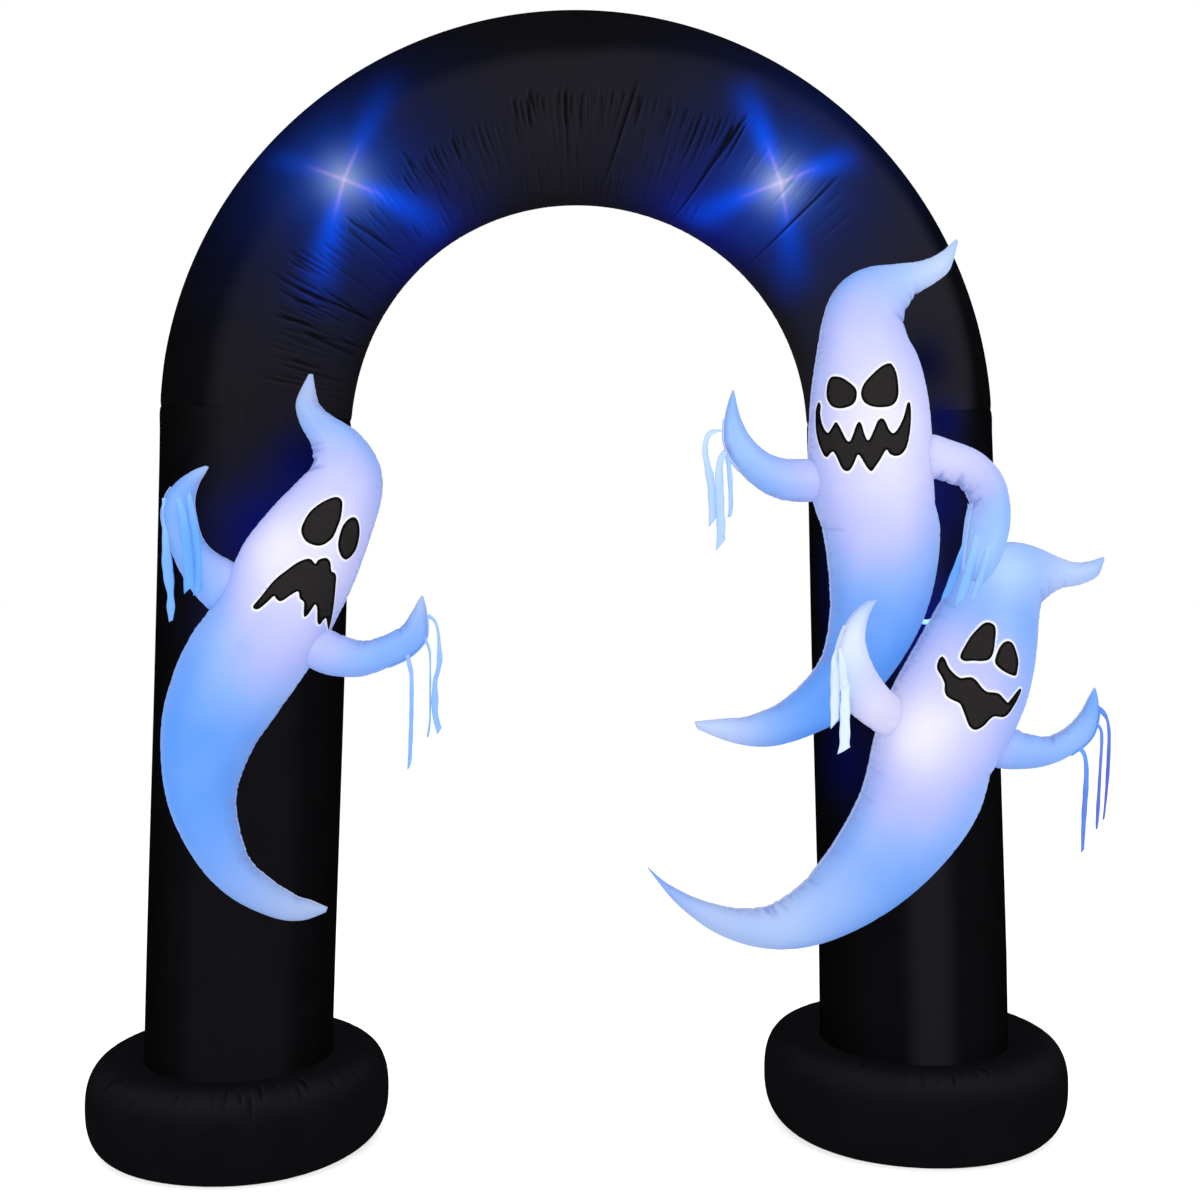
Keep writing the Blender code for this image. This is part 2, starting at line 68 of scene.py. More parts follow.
def linear(hex_colour):
    """An sRGB hex colour as linear RGBA."""
    values = [int(hex_colour[i : i + 2], 16) / 255 for i in (1, 3, 5)]
    return (*(v / 12.92 if v <= 0.04045 else ((v + 0.055) / 1.055) ** 2.4 for v in values), 1.0)


def add_node(tree, kind, inputs=None, **settings):
    """Adds a node. Each input gets a value, or the output socket that feeds it."""
    node = tree.nodes.new(kind)
    for name, value in settings.items():
        setattr(node, name, value)
    for socket, value in (inputs or {}).items():
        if isinstance(value, bpy.types.NodeSocket):
            tree.links.new(value, node.inputs[socket])
        else:
            node.inputs[socket].default_value = value
    return node


def maths(tree, operation, *values):
    """The output of a maths node over numbers."""
    return add_node(tree, "ShaderNodeMath", dict(enumerate(values)), operation=operation).outputs[0]


def vectors(tree, operation, *values):
    """The output of a maths node over vectors or colours."""
    return add_node(tree, "ShaderNodeVectorMath", dict(enumerate(values)), operation=operation).outputs[0]


def scaled(tree, colour, scale):
    """A colour times a number."""
    return add_node(tree, "ShaderNodeVectorMath", {0: colour, "Scale": scale}, operation="SCALE").outputs[0]


def faded(tree, value, gone, there, **ends):
    """0 at one value and 1 at the other, or else To_Min and To_Max, and soft between them."""
    inputs = {"Value": value, "From Min": gone, "From Max": there}
    inputs.update({name.replace("_", " "): end for name, end in ends.items()})
    return add_node(tree, "ShaderNodeMapRange", inputs, interpolation_type="SMOOTHSTEP").outputs[0]


def painted(tree, name):
    """A number that the mesh carries at each of its corners."""
    return add_node(tree, "ShaderNodeAttribute", attribute_name=name).outputs["Fac"]


def noise(tree, coords, size, detail):
    """Soft uneven noise with lumps of this size."""
    inputs = {"Vector": coords, "Scale": 1 / size, "Detail": detail}
    return add_node(tree, "ShaderNodeTexNoise", inputs).outputs["Fac"]


def ramp(tree, share, stops):
    """A colour for each share, soft between the stops."""
    node = add_node(tree, "ShaderNodeValToRGB", {"Fac": share})
    for place, _ in stops[1:-1]:
        node.color_ramp.elements.new(place)
    for element, (place, hex_colour) in zip(node.color_ramp.elements, stops):
        element.position, element.color = place, linear(hex_colour)
    return node.outputs["Color"]


def lit(tree, shader, colour, base, glow):
    """Colours a cloth by its share under the studio's light and its share of the lamps'."""
    tree.links.new(scaled(tree, colour, base), shader.inputs["Base Color"])
    tree.links.new(colour, shader.inputs["Emission Color"])
    shader.inputs["Emission Strength"].default_value = glow


def bumped(tree, shader, *layers):
    """Roughens a cloth by layers, each with its height, strength and distance."""
    normal = {}
    for height, strength, distance in layers:
        inputs = {"Height": height, "Strength": strength, "Distance": distance, **normal}
        normal = {"Normal": add_node(tree, "ShaderNodeBump", inputs).outputs["Normal"]}
    tree.links.new(normal["Normal"], shader.inputs["Normal"])


def new_material(name, colour, roughness, specular):
    """A material with its node tree and its shader."""
    made = bpy.data.materials.new(name)
    made.use_nodes = True
    shader = made.node_tree.nodes["Principled BSDF"]
    shader.inputs["Base Color"].default_value = linear(colour)
    shader.inputs["Roughness"].default_value = roughness
    shader.inputs["Specular IOR Level"].default_value = specular
    return made, made.node_tree, shader


FLOOR_SIZE = 60
bpy.ops.mesh.primitive_plane_add(size=FLOOR_SIZE)
floor = bpy.context.object
floor.name = "floor"
# Matt white paint, rolled on, which gives an even pale ground
floor_paint, _, _ = new_material("matt_white_floor_paint", "#FFFFFF", 0.9, 0.1)
floor.data.materials.append(floor_paint)

surround = bpy.data.worlds.new("white_surround")
surround.use_nodes = True
surround.node_tree.nodes["Background"].inputs["Color"].default_value = linear("#FFFFFF")
surround.node_tree.nodes["Background"].inputs["Strength"].default_value = 1.0
bpy.context.scene.world = surround

# Soft boxes: place, width and height, watts
for name, place, size, watts in (
    ("soft_box_left", (-2.7, -3.3, 2.3), (0.6, 2.6), 130),
    ("soft_box_right", (2.6, -3.4, 2.5), (0.6, 2.6), 130),
    ("soft_box_top", (0.2, -2.4, 4.4), (1.6, 0.6), 45),
):
    lamp = bpy.data.objects.new(name, bpy.data.lights.new(name, "AREA"))
    bpy.context.scene.collection.objects.link(lamp)
    lamp.data.shape = "RECTANGLE"
    lamp.data.size, lamp.data.size_y = size
    lamp.data.energy = watts
    lamp.data.use_shadow = False
    lamp.location = place
    lamp.rotation_euler = (Vector((0, ARCH_Y, 1.5)) - Vector(place)).to_track_quat("-Z", "Y").to_euler()

# ---------------------------------------------------------------- black polyester and its lamps
# The arch is sewn from tight black polyester taffeta, about as thin as a tent's. Two lamps sit inside the bow
# behind the cloth: each shows as a pale spot with a fine warm cross and four broad blue beams.
LAMP_DEPTH = -0.2  # the lamps lie this far in front of the arch's plane, just behind the front of the bow
BOW_LAMPS = {  # x and z of each lamp: the direction of each beam in degrees, its reach and its strength
    (-0.555, 2.284): ((66, 0.32, 0.42), (160, 0.24, 0.28), (255, 0.34, 0.88), (340, 0.29, 0.95)),
    (0.450, 2.295): ((112, 0.29, 1.00), (198, 0.32, 0.78), (283, 0.30, 0.55), (21, 0.24, 0.90)),
}
LAMP_GONE, LAMP_FULL = 0.20, 0.08  # how far behind a lamp none and all of its light shows
BEAM_WIDTH, BEAM_SPREAD, BEAM_FULL = 0.012, 0.12, 0.09
CROSS_REACH, CROSS_WIDTH, CROSS_STRENGTH = 0.105, 0.0045, 0.22
LAMP_RINGS = (  # the light round each lamp, from wide and blue to narrow and warm: radius, colour, strength
    (0.240, "#041858", 0.95),
    (0.105, "#144CBE", 0.68),
    (0.052, "#8C9C94", 0.80),
    (0.024, "#E8DCA0", 0.42),
)
# Where a lamp's light reaches the inner side of the bow, further back: x, z, radius, strength
BOW_SPILL_DEPTH = -0.09
BOW_SPILL = (
    (-0.363, 2.155, 0.130, 0.34),
    (0.285, 2.216, 0.140, 0.44),
)
BLUE_FALL = (  # where a ghost's light falls on the black cloth: x, z, radius, strength
    (-0.735, 1.480, 0.110, 0.42),
    (-0.650, 1.640, 0.080, 0.20),
    (-0.800, 1.250, 0.080, 0.22),
    (0.470, 1.640, 0.080, 0.90),
    (0.500, 1.400, 0.090, 0.50),
    (0.530, 1.270, 0.080, 0.40),
    (0.560, 0.930, 0.100, 0.30),
    (0.780, 1.560, 0.105, 0.38),
    (0.760, 1.290, 0.110, 0.60),
    (0.790, 1.880, 0.070, 0.08),
    (0.835, 1.745, 0.050, 0.25),
)


def spot(tree, coords, place, radius):
    """Fades softly from 1 at a place, past a radius."""
    away = add_node(tree, "ShaderNodeVectorMath", {0: coords, 1: place}, operation="DISTANCE")
    return bell(tree, maths(tree, "DIVIDE", away.outputs["Value"], radius))


def bell(tree, off):
    """1 at 0, fading both ways as a bell does."""
    square = maths(tree, "MULTIPLY", off, off)
    return maths(tree, "EXPONENT", maths(tree, "MULTIPLY", square, -1.0))


def beam(tree, along, across, width, spread, start, full, reach):
    """A beam away from a lamp. It widens by `spread`, grows from `start` to `full` and is gone at `reach`."""
    wide = maths(tree, "MULTIPLY_ADD", along, spread, width)
    share = bell(tree, maths(tree, "DIVIDE", across, wide))
    for gone, there in ((start, full), (reach, full)):
        share = maths(tree, "MULTIPLY", share, faded(tree, along, gone, there))
    return share


def light_of(tree, share, hex_colour, strength):
    """A colour times a share, to be added to others."""
    return scaled(tree, linear(hex_colour)[:3], maths(tree, "MULTIPLY", share, strength))


def added(tree, lights):
    """The sum of several lights."""
    total = lights[0]
    for light in lights[1:]:
        total = vectors(tree, "ADD", total, light)
    return total


# Polyester taffeta, woven, dyed black and calendered: a near black. Its dim satin sheen on folds is painted,
# as a glow.
black_taffeta, tree, shader = new_material("black_polyester_taffeta", "#040405", 0.45, 0.0)
coords = add_node(tree, "ShaderNodeTexCoord").outputs["Object"]
glows, bare = [], []
for (lamp_x, lamp_z), beams in BOW_LAMPS.items():
    place = (lamp_x, ARCH_Y + LAMP_DEPTH, lamp_z)
    local = vectors(tree, "SUBTRACT", coords, place)
    # The lamp shines forwards, so its light shows on the front half of the tube alone.
    depth = add_node(tree, "ShaderNodeSeparateXYZ", {0: local}).outputs["Y"]
    front = faded(tree, depth, LAMP_GONE, LAMP_FULL)
    parts = [
        light_of(tree, spot(tree, coords, place, radius), hex_colour, strength)
        for radius, hex_colour, strength in LAMP_RINGS
    ]
    for direction, reach, strength in beams:
        turn = {"Vector": local, "Angle": radians(direction)}
        turn = add_node(tree, "ShaderNodeVectorRotate", turn, rotation_type="Y_AXIS").outputs[0]
        axes = add_node(tree, "ShaderNodeSeparateXYZ", {0: turn}).outputs
        broad = beam(tree, axes["X"], axes["Z"], BEAM_WIDTH, BEAM_SPREAD, 0.0, BEAM_FULL, reach)
        fine = beam(tree, axes["X"], axes["Z"], CROSS_WIDTH, 0.0, -0.01, 0.01, CROSS_REACH)
        parts.append(light_of(tree, broad, "#0040CC", strength))
        parts.append(light_of(tree, fine, "#E8A0B8", CROSS_STRENGTH))
        hidden = maths(tree, "MULTIPLY", broad, front)
        bare.append(maths(tree, "MULTIPLY_ADD", hidden, -1.0, 1.0))
    glows.append(scaled(tree, added(tree, parts), front))
for depth, falls in ((LAMP_DEPTH, BLUE_FALL), (BOW_SPILL_DEPTH, BOW_SPILL)):
    for x, z, radius, strength in falls:
        share = spot(tree, coords, (x, ARCH_Y + depth, z), radius)
        glows.append(light_of(tree, share, "#001490", strength))
# Painted sheen: bands of each tube get a dim violet-grey glow, painted brighter on the lit side of a crease.
sheen = painted(tree, "sheen")
for share in bare:  # a broad beam hides it
    sheen = maths(tree, "MULTIPLY", sheen, share)
# Painted light and shade: where a crease's flank tilts one way it is painted brighter, the other way darker.
facing = maths(tree, "MULTIPLY_ADD", painted(tree, "tilt"), 1.1, 1.0)
facing = maths(tree, "MAXIMUM", facing, 0.1)
glows.append(light_of(tree, sheen, "#1C1B20", 1.0))
# A crease holds back the lamps' light that comes through the cloth, and darkens the painted sheen as painted
# shade.
crease = painted(tree, "crease")
clear = maths(tree, "MULTIPLY", faded(tree, crease, 0.15, 0.80, To_Min=1.0, To_Max=0.12), facing)
tree.links.new(scaled(tree, added(tree, glows), clear), shader.inputs["Emission Color"])
shader.inputs["Emission Strength"].default_value = 1.0
# The dye is a little uneven over a hand's breadth, and the base colour is a little lighter along the creases.
cloud = noise(tree, coords, 0.10, 4.0)
thin = maths(tree, "MULTIPLY_ADD", crease, 0.6, cloud)
dye = {"Factor": thin, "A": linear("#020202"), "B": linear("#060607")}
dye = add_node(tree, "ShaderNodeMix", dye, data_type="RGBA")
tree.links.new(dye.outputs["Result"], shader.inputs["Base Color"])
# The cloth's threads are 0.2 mm apart, too fine to show, so the weave is drawn at 2.5 mm, as faint ribs.
WEAVE = 0.0025
cloth_way = add_node(tree, "ShaderNodeAttribute", attribute_name="cloth").outputs["Vector"]
ribs = []
for direction in ("X", "Y"):
    rib = {"Vector": cloth_way, "Scale": pi / 10 / WEAVE, "Distortion": 2.0, "Detail Scale": 2.0}
    ribs.append(add_node(tree, "ShaderNodeTexWave", rib, bands_direction=direction).outputs["Fac"])
weave = maths(tree, "ADD", *ribs)
# Between the drawn creases, the blown cloth is never quite smooth.
ripple = noise(tree, coords, 0.035, 2.0)
bumped(tree, shader, (ripple, 0.35, 0.003), (weave, 0.08, 0.0004))

# ---------------------------------------------------------------- legs
# Each leg is a tube of black polyester with a flat bottom panel. It leans in a little and is sewn to the bow
# at a round seam, which draws the cloth in and puckers it.
BOW_RADIUS, TUBE_RADIUS, SPRING_HEIGHT = 0.79, 0.2275, 1.7225
TUBE_ROUND = 2 * pi * TUBE_RADIUS
SEAM_ANGLE, SEAM_DRAW, SEAM_HALF = radians(3.3), 0.0018, 0.008
SEAM_APART = 0.0004  # the leg's top row ends this far below the seam
LEG_STRAIGHT = 0.235  # below this height a leg stands upright in its ring
FEET = {"left": (-0.845, 0.2275), "right": (0.840, 0.2350)}  # where each leg stands, and its radius there
LEG_COLUMNS, LEG_STEP, LEG_FINE_STEP, LEG_FINE = 320, 0.025, 0.005, 0.09
CLOTH_IN = 0.0012  # the scene's skins lie this far inside the CAD's round forms
PUCKER, PUCKER_WIDTH = 0.0014, 0.0045
SLACK = 0.002  # how far the cloth swells or sinks between its seams
# The painted sheen down each leg: the middle and half the width of its band, as shares of the radius, and its
# strength
LEG_SHEEN = {"left": (0.10, 0.50, 0.24), "right": (-0.05, 0.20, 0.66)}
SHEEN_LOST = 0.85  # the share of the sheen that is lost where a blue light lies on the cloth
LAMP_REACH = 0.26  # how far round a lamp it is lost
BOW_SHEEN_DOWN = 0.35  # how far the bow's sheen carries on below the seam


def soft_step(gone, there, value):
    """0 at one value and 1 at the other, and soft between them."""
    share = np.clip((value - gone) / (there - gone), 0, 1)
    return share * share * (3 - 2 * share)


def outshone(points, sheen):
    """The painted sheen of a black cloth, less where the blue of a lamp or a ghost lies on it."""
    lights = [(x, z, LAMP_REACH) for x, z in BOW_LAMPS] + [(x, z, radius) for x, z, radius, _ in BLUE_FALL]
    front = soft_step(ARCH_Y + 0.05, ARCH_Y - 0.05, points[..., 1])
    for x, z, radius in lights:
        away = np.hypot(points[..., 0] - x, points[..., 2] - z)
        sheen = sheen * (1 - SHEEN_LOST * front * np.exp(-((away / radius) ** 2)))
    return sheen


def creased(along, across, lines, around=None, skew=1.0):
    """How deep fine creases press a cloth at (along, across), in metres. Each crease runs from one such place
    to another, and has a width and a depth. `around` is the length along a seam that closes on itself, and a
    skew below 1 makes a crease deepest near its start."""
    depth = np.zeros(np.broadcast(along, across).shape)
    for a0, c0, a1, c1, width, press in lines:
        run, rise = a1 - a0, c1 - c0
        length = hypot(run, rise)
        past = along - a0
        if around:
            past = (past + around / 2) % around - around / 2
        at = (past * run + (across - c0) * rise) / length**2
        off = (past * rise - (across - c0) * run) / length
        depth += press * np.exp(-((off / width) ** 2)) * np.sin(pi * np.clip(at, 0, 1) ** skew) ** 0.7
    return depth


def seam_puckers(random, at):
    """Creases that cross a round seam, at this place along the tube, all the way round it."""
    lines, place = [], 0.0
    while place < TUBE_ROUND - 0.01:
        place += random.uniform(0.010, 0.030)
        reach, drift = random.uniform(0.015, 0.075), random.uniform(-0.008, 0.008)
        press = PUCKER * random.uniform(0.1, 1.0)
        lines.append((place, at - reach, place + drift, at + reach, PUCKER_WIDTH, press))
    return lines


def sewn(name, points, material, slot, ends=True, **attributes):
    """A piece over points[row][column], closed round each row. Its ends are closed too, or with ends=False
    its last row joins the first, as in a ring."""
    rows, columns = points.shape[:2]
    grid = np.arange(rows * columns).reshape(rows, columns)
    near, far = (grid[:-1], grid[1:]) if ends else (grid, np.roll(grid, -1, 0))
    faces = np.stack([near, np.roll(near, -1, 1), np.roll(far, -1, 1), far], -1).reshape(-1, 4).tolist()
    corners = points.reshape(-1, 3)
    if ends:
        corners = np.vstack([corners, points[0].mean(0), points[-1].mean(0)])
        for ring, pole in ((grid[0], rows * columns), (grid[-1], rows * columns + 1)):
            faces += [(a, b, pole) for a, b in zip(ring.tolist(), np.roll(ring, -1).tolist())]
    mesh = bpy.data.meshes.new(name)
    mesh.from_pydata(corners.tolist(), [], faces)
    for attribute, values in attributes.items():
        wide = values.ndim == 3
        flat = values.reshape(rows * columns, -1)
        if ends:
            flat = np.vstack([flat, values.reshape(rows, columns, -1)[[0, -1]].mean(1)])
        made = mesh.attributes.new(attribute, "FLOAT_VECTOR" if wide else "FLOAT", "POINT")
        made.data.foreach_set("vector" if wide else "value", flat.reshape(-1).astype(np.float32))
    return dressed(name, mesh, material)


def dressed(name, mesh, material):
    """The mesh as a piece of the object, its faces turned outwards."""
    shape = bmesh.new()
    shape.from_mesh(mesh)
    bmesh.ops.recalc_face_normals(shape, faces=shape.faces)
    shape.to_mesh(mesh)
    shape.free()
    mesh.shade_smooth()
    mesh.materials.append(material)
    piece = bpy.data.objects.new(name, mesh)
    bpy.context.scene.collection.objects.link(piece)
    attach(piece, "root")
    return piece


turns = 2 * pi * np.arange(LEG_COLUMNS) / LEG_COLUMNS  # 0 faces right and a quarter turn the front
top = SPRING_HEIGHT + BOW_RADIUS * sin(SEAM_ANGLE)
heights = [np.arange(0, top - LEG_FINE, LEG_STEP), np.arange(top - LEG_FINE, top, LEG_FINE_STEP)]
heights = np.concatenate(heights)
for side_name, (foot_x, foot_radius) in FEET.items():
    side = np.sign(foot_x)
    random = Random(f"leg {side_name}")
    lean = np.clip((heights - LEG_STRAIGHT) / (SPRING_HEIGHT - LEG_STRAIGHT), 0, 1)
    middle = foot_x + (side * BOW_RADIUS - foot_x) * lean
    radius = foot_radius + (TUBE_RADIUS - foot_radius) * lean
    # Above the spring line the rows tilt into the plane of the seam.
    share = np.clip((heights - top + LEG_FINE) / LEG_FINE, 0, 1)
    below = top - heights
    lines = seam_puckers(random, 0.0)
    press = creased(turns[None, :] * TUBE_RADIUS, below[:, None], lines, TUBE_ROUND)
    draw = SEAM_DRAW * np.exp(-((below[:, None] / SEAM_HALF) ** 2))
    slack = SLACK * np.sin(3 * turns[None, :] + 2.0 * heights[:, None])
    slack = slack * np.sin(1.9 * heights[:, None] + side)
    slack = slack * np.clip((heights[:, None] - LEG_STRAIGHT) / 0.2, 0, 1)
    slack = slack * np.clip(below[:, None] / 0.1, 0, 1)
    reach = radius[:, None] - CLOTH_IN - press - draw + slack
    x = middle[:, None] + reach * np.cos(turns)
    tilt = (share * np.tan(SEAM_ANGLE) * side)[:, None] * (x - middle[:, None])
    z = heights[:, None] + tilt - SEAM_APART * share[:, None]
    points = np.stack([x, ARCH_Y - reach * np.sin(turns), z], -1)
    cloth_way = np.stack(np.broadcast_arrays(turns[None, :] * TUBE_RADIUS, heights[:, None], 0 * x), -1)
    crease = 0.4 * np.clip(press / PUCKER, 0, 1)
    tilt = np.gradient(press, axis=1) / (turns[1] * TUBE_RADIUS)
    # Painted sheen: a band of dim glow down the front of the leg, dimmer on its back.
    sheen_middle, sheen_half, strength = LEG_SHEEN[side_name]
    off = np.abs(np.cos(turns) - sheen_middle)
    sheen = strength * soft_step(sheen_half + 0.14, sheen_half - 0.12, off) + 0.13 * soft_step(1.0, 0.5, off)
    sheen = sheen * (0.2 + 0.8 * soft_step(-0.3, 0.2, np.sin(turns)))
    # Near the seam it meets the bow's own sheen, which is wider.
    inwards = -side * np.cos(turns) + (0.24 if side > 0 else 0.0)
    wide = 0.42 * soft_step(-0.40, -0.10, inwards) * np.clip(np.sin(turns), 0, 1)
    sheen = outshone(points, sheen[None, :] + wide * np.exp(-((below[:, None] / BOW_SHEEN_DOWN) ** 2)))
    leg = sewn(
        f"leg_{side_name}_skin", points, black_taffeta, "black_polyester",
        crease=crease, tilt=tilt, sheen=sheen, cloth=cloth_way,
    )
    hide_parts(f"leg_{side_name}")

# ---------------------------------------------------------------- bow
# The bow is one long black tube. Gathers along its inner side bend it into a half round, and show as fine
# creases over the inner half of its front. Some of them run right across it.
BOW_STEP, BOW_COLUMNS = 0.0034, 136
GATHER = 0.0050
# The creases that stand out: degrees round the bow and millimetres from its front middle towards the inside,
# at both ends, then width and depth in millimetres
BOW_CREASES = [
    (154.5, 60, 152.1, 340, 3.6, 5.0),
    (156.9, 52, 154.6, 173, 3.2, 3.5),
    (160.6, 30, 159.0, 167, 3.2, 3.5),
    (162.3, 60, 158.7, 328, 3.2, 3.5),
    (159.7, 200, 159.5, 317, 3.2, 3.0),
    (139.2, 59, 136.4, 270, 3.4, 4.0),
    (138.3, 80, 137.0, 208, 3.0, 2.5),
    (140.7, 74, 140.0, 236, 3.2, 3.0),
    (62.8, -30, 67.6, 362, 3.6, 5.0),
    (64.0, 12, 65.5, 160, 3.2, 3.0),
    (81.6, -15, 85.8, 275, 3.6, 4.5),
    (83.6, 15, 85.0, 125, 3.0, 3.0),
    (45.1, -40, 45.3, 310, 3.4, 4.5),
    (46.2, -14, 45.6, 90, 3.0, 2.5),
    (124.3, 30, 122.9, 140, 3.2, 3.0),
    (114.6, 40, 115.8, 140, 3.0, 2.5),
    (93.8, 6, 94.1, 240, 3.2, 3.5),
    (99.6, -10, 101.6, 125, 3.0, 3.0),
]
# Where fine creases crowd: from and to in degrees, where they start at either end of that in millimetres, how
# much that wanders, how many, how long they are at most, and their share of the depth
BOW_CROWDS = [
    (62.0, 71, -8, 18, 8, 9, 150, 1.00),
    (71.0, 84, 18, 8, 8, 12, 90, 0.75),
    (84.0, 103, 14, 20, 10, 20, 110, 0.85),
    (103.0, 127, 52, 66, 10, 22, 110, 0.75),
    (127.0, 147, 62, 66, 25, 16, 100, 0.50),
    (147.0, 172, 50, 70, 60, 26, 220, 0.75),
    (38.0, 60, -25, 20, 25, 12, 120, 0.40),
    (62.0, 130, 160, 170, 90, 42, 150, 0.50),
    (130.0, 186, 230, 230, 70, 24, 120, 0.50),
    (8.0, 172, 400, 400, 80, 110, 200, 0.18),
]
random = Random("bow")
lines = [
    (radians(a0) * BOW_RADIUS, c0 / 1000, radians(a1) * BOW_RADIUS, c1 / 1000, width / 1000, depth / 1000)
    for a0, c0, a1, c1, width, depth in BOW_CREASES
]
for a0, a1, c0, c1, wander, count, longest, deep in BOW_CROWDS:
    for number in range(count):
        share = (number + random.uniform(0.2, 0.8)) / count
        start = radians(a0 + (a1 - a0) * share) * BOW_RADIUS
        across = (c0 + (c1 - c0) * share + random.uniform(-wander, wander)) / 1000
        length, drift = longest / 1000 * random.uniform(0.35, 1.0), random.uniform(-0.006, 0.006)
        depth = GATHER * deep * random.uniform(0.35, 1.0)
        lines.append((start, across, start + drift, across + length, random.uniform(0.0026, 0.0040), depth))
angles = np.linspace(SEAM_ANGLE, pi - SEAM_ANGLE, round(pi * BOW_RADIUS / BOW_STEP))
along = angles * BOW_RADIUS
turns = 2 * pi * np.arange(BOW_COLUMNS) / BOW_COLUMNS  # 0 faces the front and a quarter turn the inside
across = np.where(turns > pi * 1.25, turns - 2 * pi, turns)
press = creased(along[:, None], (across * TUBE_RADIUS)[None, :], lines, skew=0.6)
lines = seam_puckers(random, along[0]) + seam_puckers(random, along[-1])
press = press + creased((turns * TUBE_RADIUS)[None, :], along[:, None], lines, TUBE_ROUND)
to_seam = np.minimum(along - along[0], along[-1] - along)[:, None]
slack = SLACK * np.sin(2 * across[None, :] + 3.1 * along[:, None]) * np.sin(2.3 * along[:, None])
reach = TUBE_RADIUS - CLOTH_IN - SEAM_DRAW * np.exp(-((to_seam / SEAM_HALF) ** 2)) - press
reach = reach + slack * np.clip(to_seam / 0.1, 0, 1)
out = BOW_RADIUS - reach * np.sin(across)
x, z = out * np.cos(angles)[:, None], SPRING_HEIGHT + out * np.sin(angles)[:, None]
points = np.stack([x, ARCH_Y - reach * np.cos(across), z], -1)
cloth_way = np.stack(np.broadcast_arrays((across * TUBE_RADIUS)[None, :], along[:, None], 0 * reach), -1)
crease = np.clip(press / GATHER, 0, 1)
tilt = np.gradient(press, axis=0) / (along[1] - along[0]) * np.sign(pi / 2 - angles)[:, None]
front = across * TUBE_RADIUS
# A painted sheen. On the right, the bow's sheen reaches further out and is stronger.
to_right = np.clip(np.cos(angles), 0, 1)[:, None]
to_top = np.sin(angles)[:, None]
further = (0.055 + 0.08 * to_top) * to_right
sheen = soft_step(-0.115, -0.045, front + further) * (0.55 + 0.45 * soft_step(0.36, 0.12, front))
sheen = sheen * soft_step(0.60, 0.36, front) * (1 + 0.7 * soft_step(0.3, 0.85, to_right))
sheen = np.maximum(sheen, 0.10 + 0.12 * to_top**6) * (0.80 + 0.20 * to_top**2)
bow = sewn(
    "bow_skin", points, black_taffeta, "black_polyester",
    crease=crease, tilt=tilt, sheen=outshone(points, sheen), cloth=cloth_way,
)
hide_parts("bow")

# ---------------------------------------------------------------- base rings
# A fat ring cushion of the same black cloth hugs the foot of each leg. Its top panel is sewn to its side
# wall, and puckers cross that seam all the way round.
RING_BODY, RING_FLAT, RING_SQUARE = 0.185, 0.006, (0.72, 0.8)
RINGS = {"left": (0.366, 0.215), "right": (0.381, 0.220)}  # outer radius and height
RING_ROWS, RING_COLUMNS = 520, 72
RING_PRESS = 0.0045
RING_GAP = 0.0003  # between the leg's cloth and the ring's
profile = 2 * pi * (np.arange(RING_COLUMNS) + 0.5) / RING_COLUMNS
sweep = 2 * pi * np.arange(RING_ROWS) / RING_ROWS  # a quarter turn faces the front
for side_name, (foot_x, foot_radius) in FEET.items():
    random = Random(f"ring {side_name}")
    ring_radius, ring_height = RINGS[side_name]
    inner = foot_radius + RING_GAP
    out_share = np.sign(np.cos(profile)) * np.abs(np.cos(profile)) ** RING_SQUARE[0]
    up_share = np.sign(np.sin(profile)) * np.abs(np.sin(profile)) ** RING_SQUARE[1]
    radius = ring_radius - RING_BODY / 2 + RING_BODY / 2 * out_share
    height = (ring_height + RING_FLAT) / 2 * (1 + up_share) - RING_FLAT
    # How far each place of the profile lies outwards from the top
    order = np.roll(np.arange(RING_COLUMNS), -int(np.argmax(height)))[::-1]
    walk = np.concatenate([[0], np.cumsum(np.hypot(np.diff(radius[order]), np.diff(height[order])))])
    past_top = np.empty(RING_COLUMNS)
    past_top[order] = walk
    past_top = np.where(past_top > walk[-1] * 0.75, past_top - walk[-1] - 0.008, past_top)
    around = 2 * pi * ring_radius
    lines = []
    place = 0.0
    while place < around - 0.01:
        place += random.uniform(0.012, 0.042)
        start, reach = random.uniform(-0.03, 0.02), random.uniform(0.03, 0.085)
        drift, deep = random.uniform(-0.010, 0.010), RING_PRESS * random.uniform(0.25, 1.0) ** 2
        lines.append((place, start, place + drift, start + reach, random.uniform(0.004, 0.006), deep))
    press = creased((sweep * ring_radius)[:, None], past_top[None, :], lines, around)
    uneven = 0.003 * np.sin(3 * sweep + foot_x) + 0.002 * np.sin(5 * sweep + 2)
    swell = np.clip(radius - inner, 0, None) / (ring_radius - inner)
    loose = radius[None, :] + (uneven[:, None] - press - 0.003) * swell[None, :]
    height = height[None, :] - press * np.clip(up_share, 0, 1)[None, :]
    loose, height = np.maximum(loose, inner), np.maximum(height, 0)
    points = np.stack(
        [foot_x + loose * np.cos(sweep)[:, None], ARCH_Y - loose * np.sin(sweep)[:, None], height], -1
    )
    cloth_way = np.stack(
        np.broadcast_arrays(past_top[None, :], (sweep * ring_radius)[:, None], 0 * height), -1
    )
    crease = np.clip(press / RING_PRESS, 0, 1)
    tilt = np.gradient(press, axis=0) / (sweep[1] * ring_radius)
    # Painted sheen: a dim glow over the ring, brightest near its top seam at the front.
    upper = np.exp(-(((past_top - 0.045) / 0.035) ** 2))[None, :]
    sheen = 0.22 + 0.50 * upper * np.clip(np.sin(sweep), 0, 1)[:, None]
    ring = sewn(
        f"base_ring_{side_name}_skin", points, black_taffeta, "black_polyester", ends=False,
        crease=crease, tilt=tilt, sheen=sheen, cloth=cloth_way,
    )
    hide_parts(f"base_ring_{side_name}")

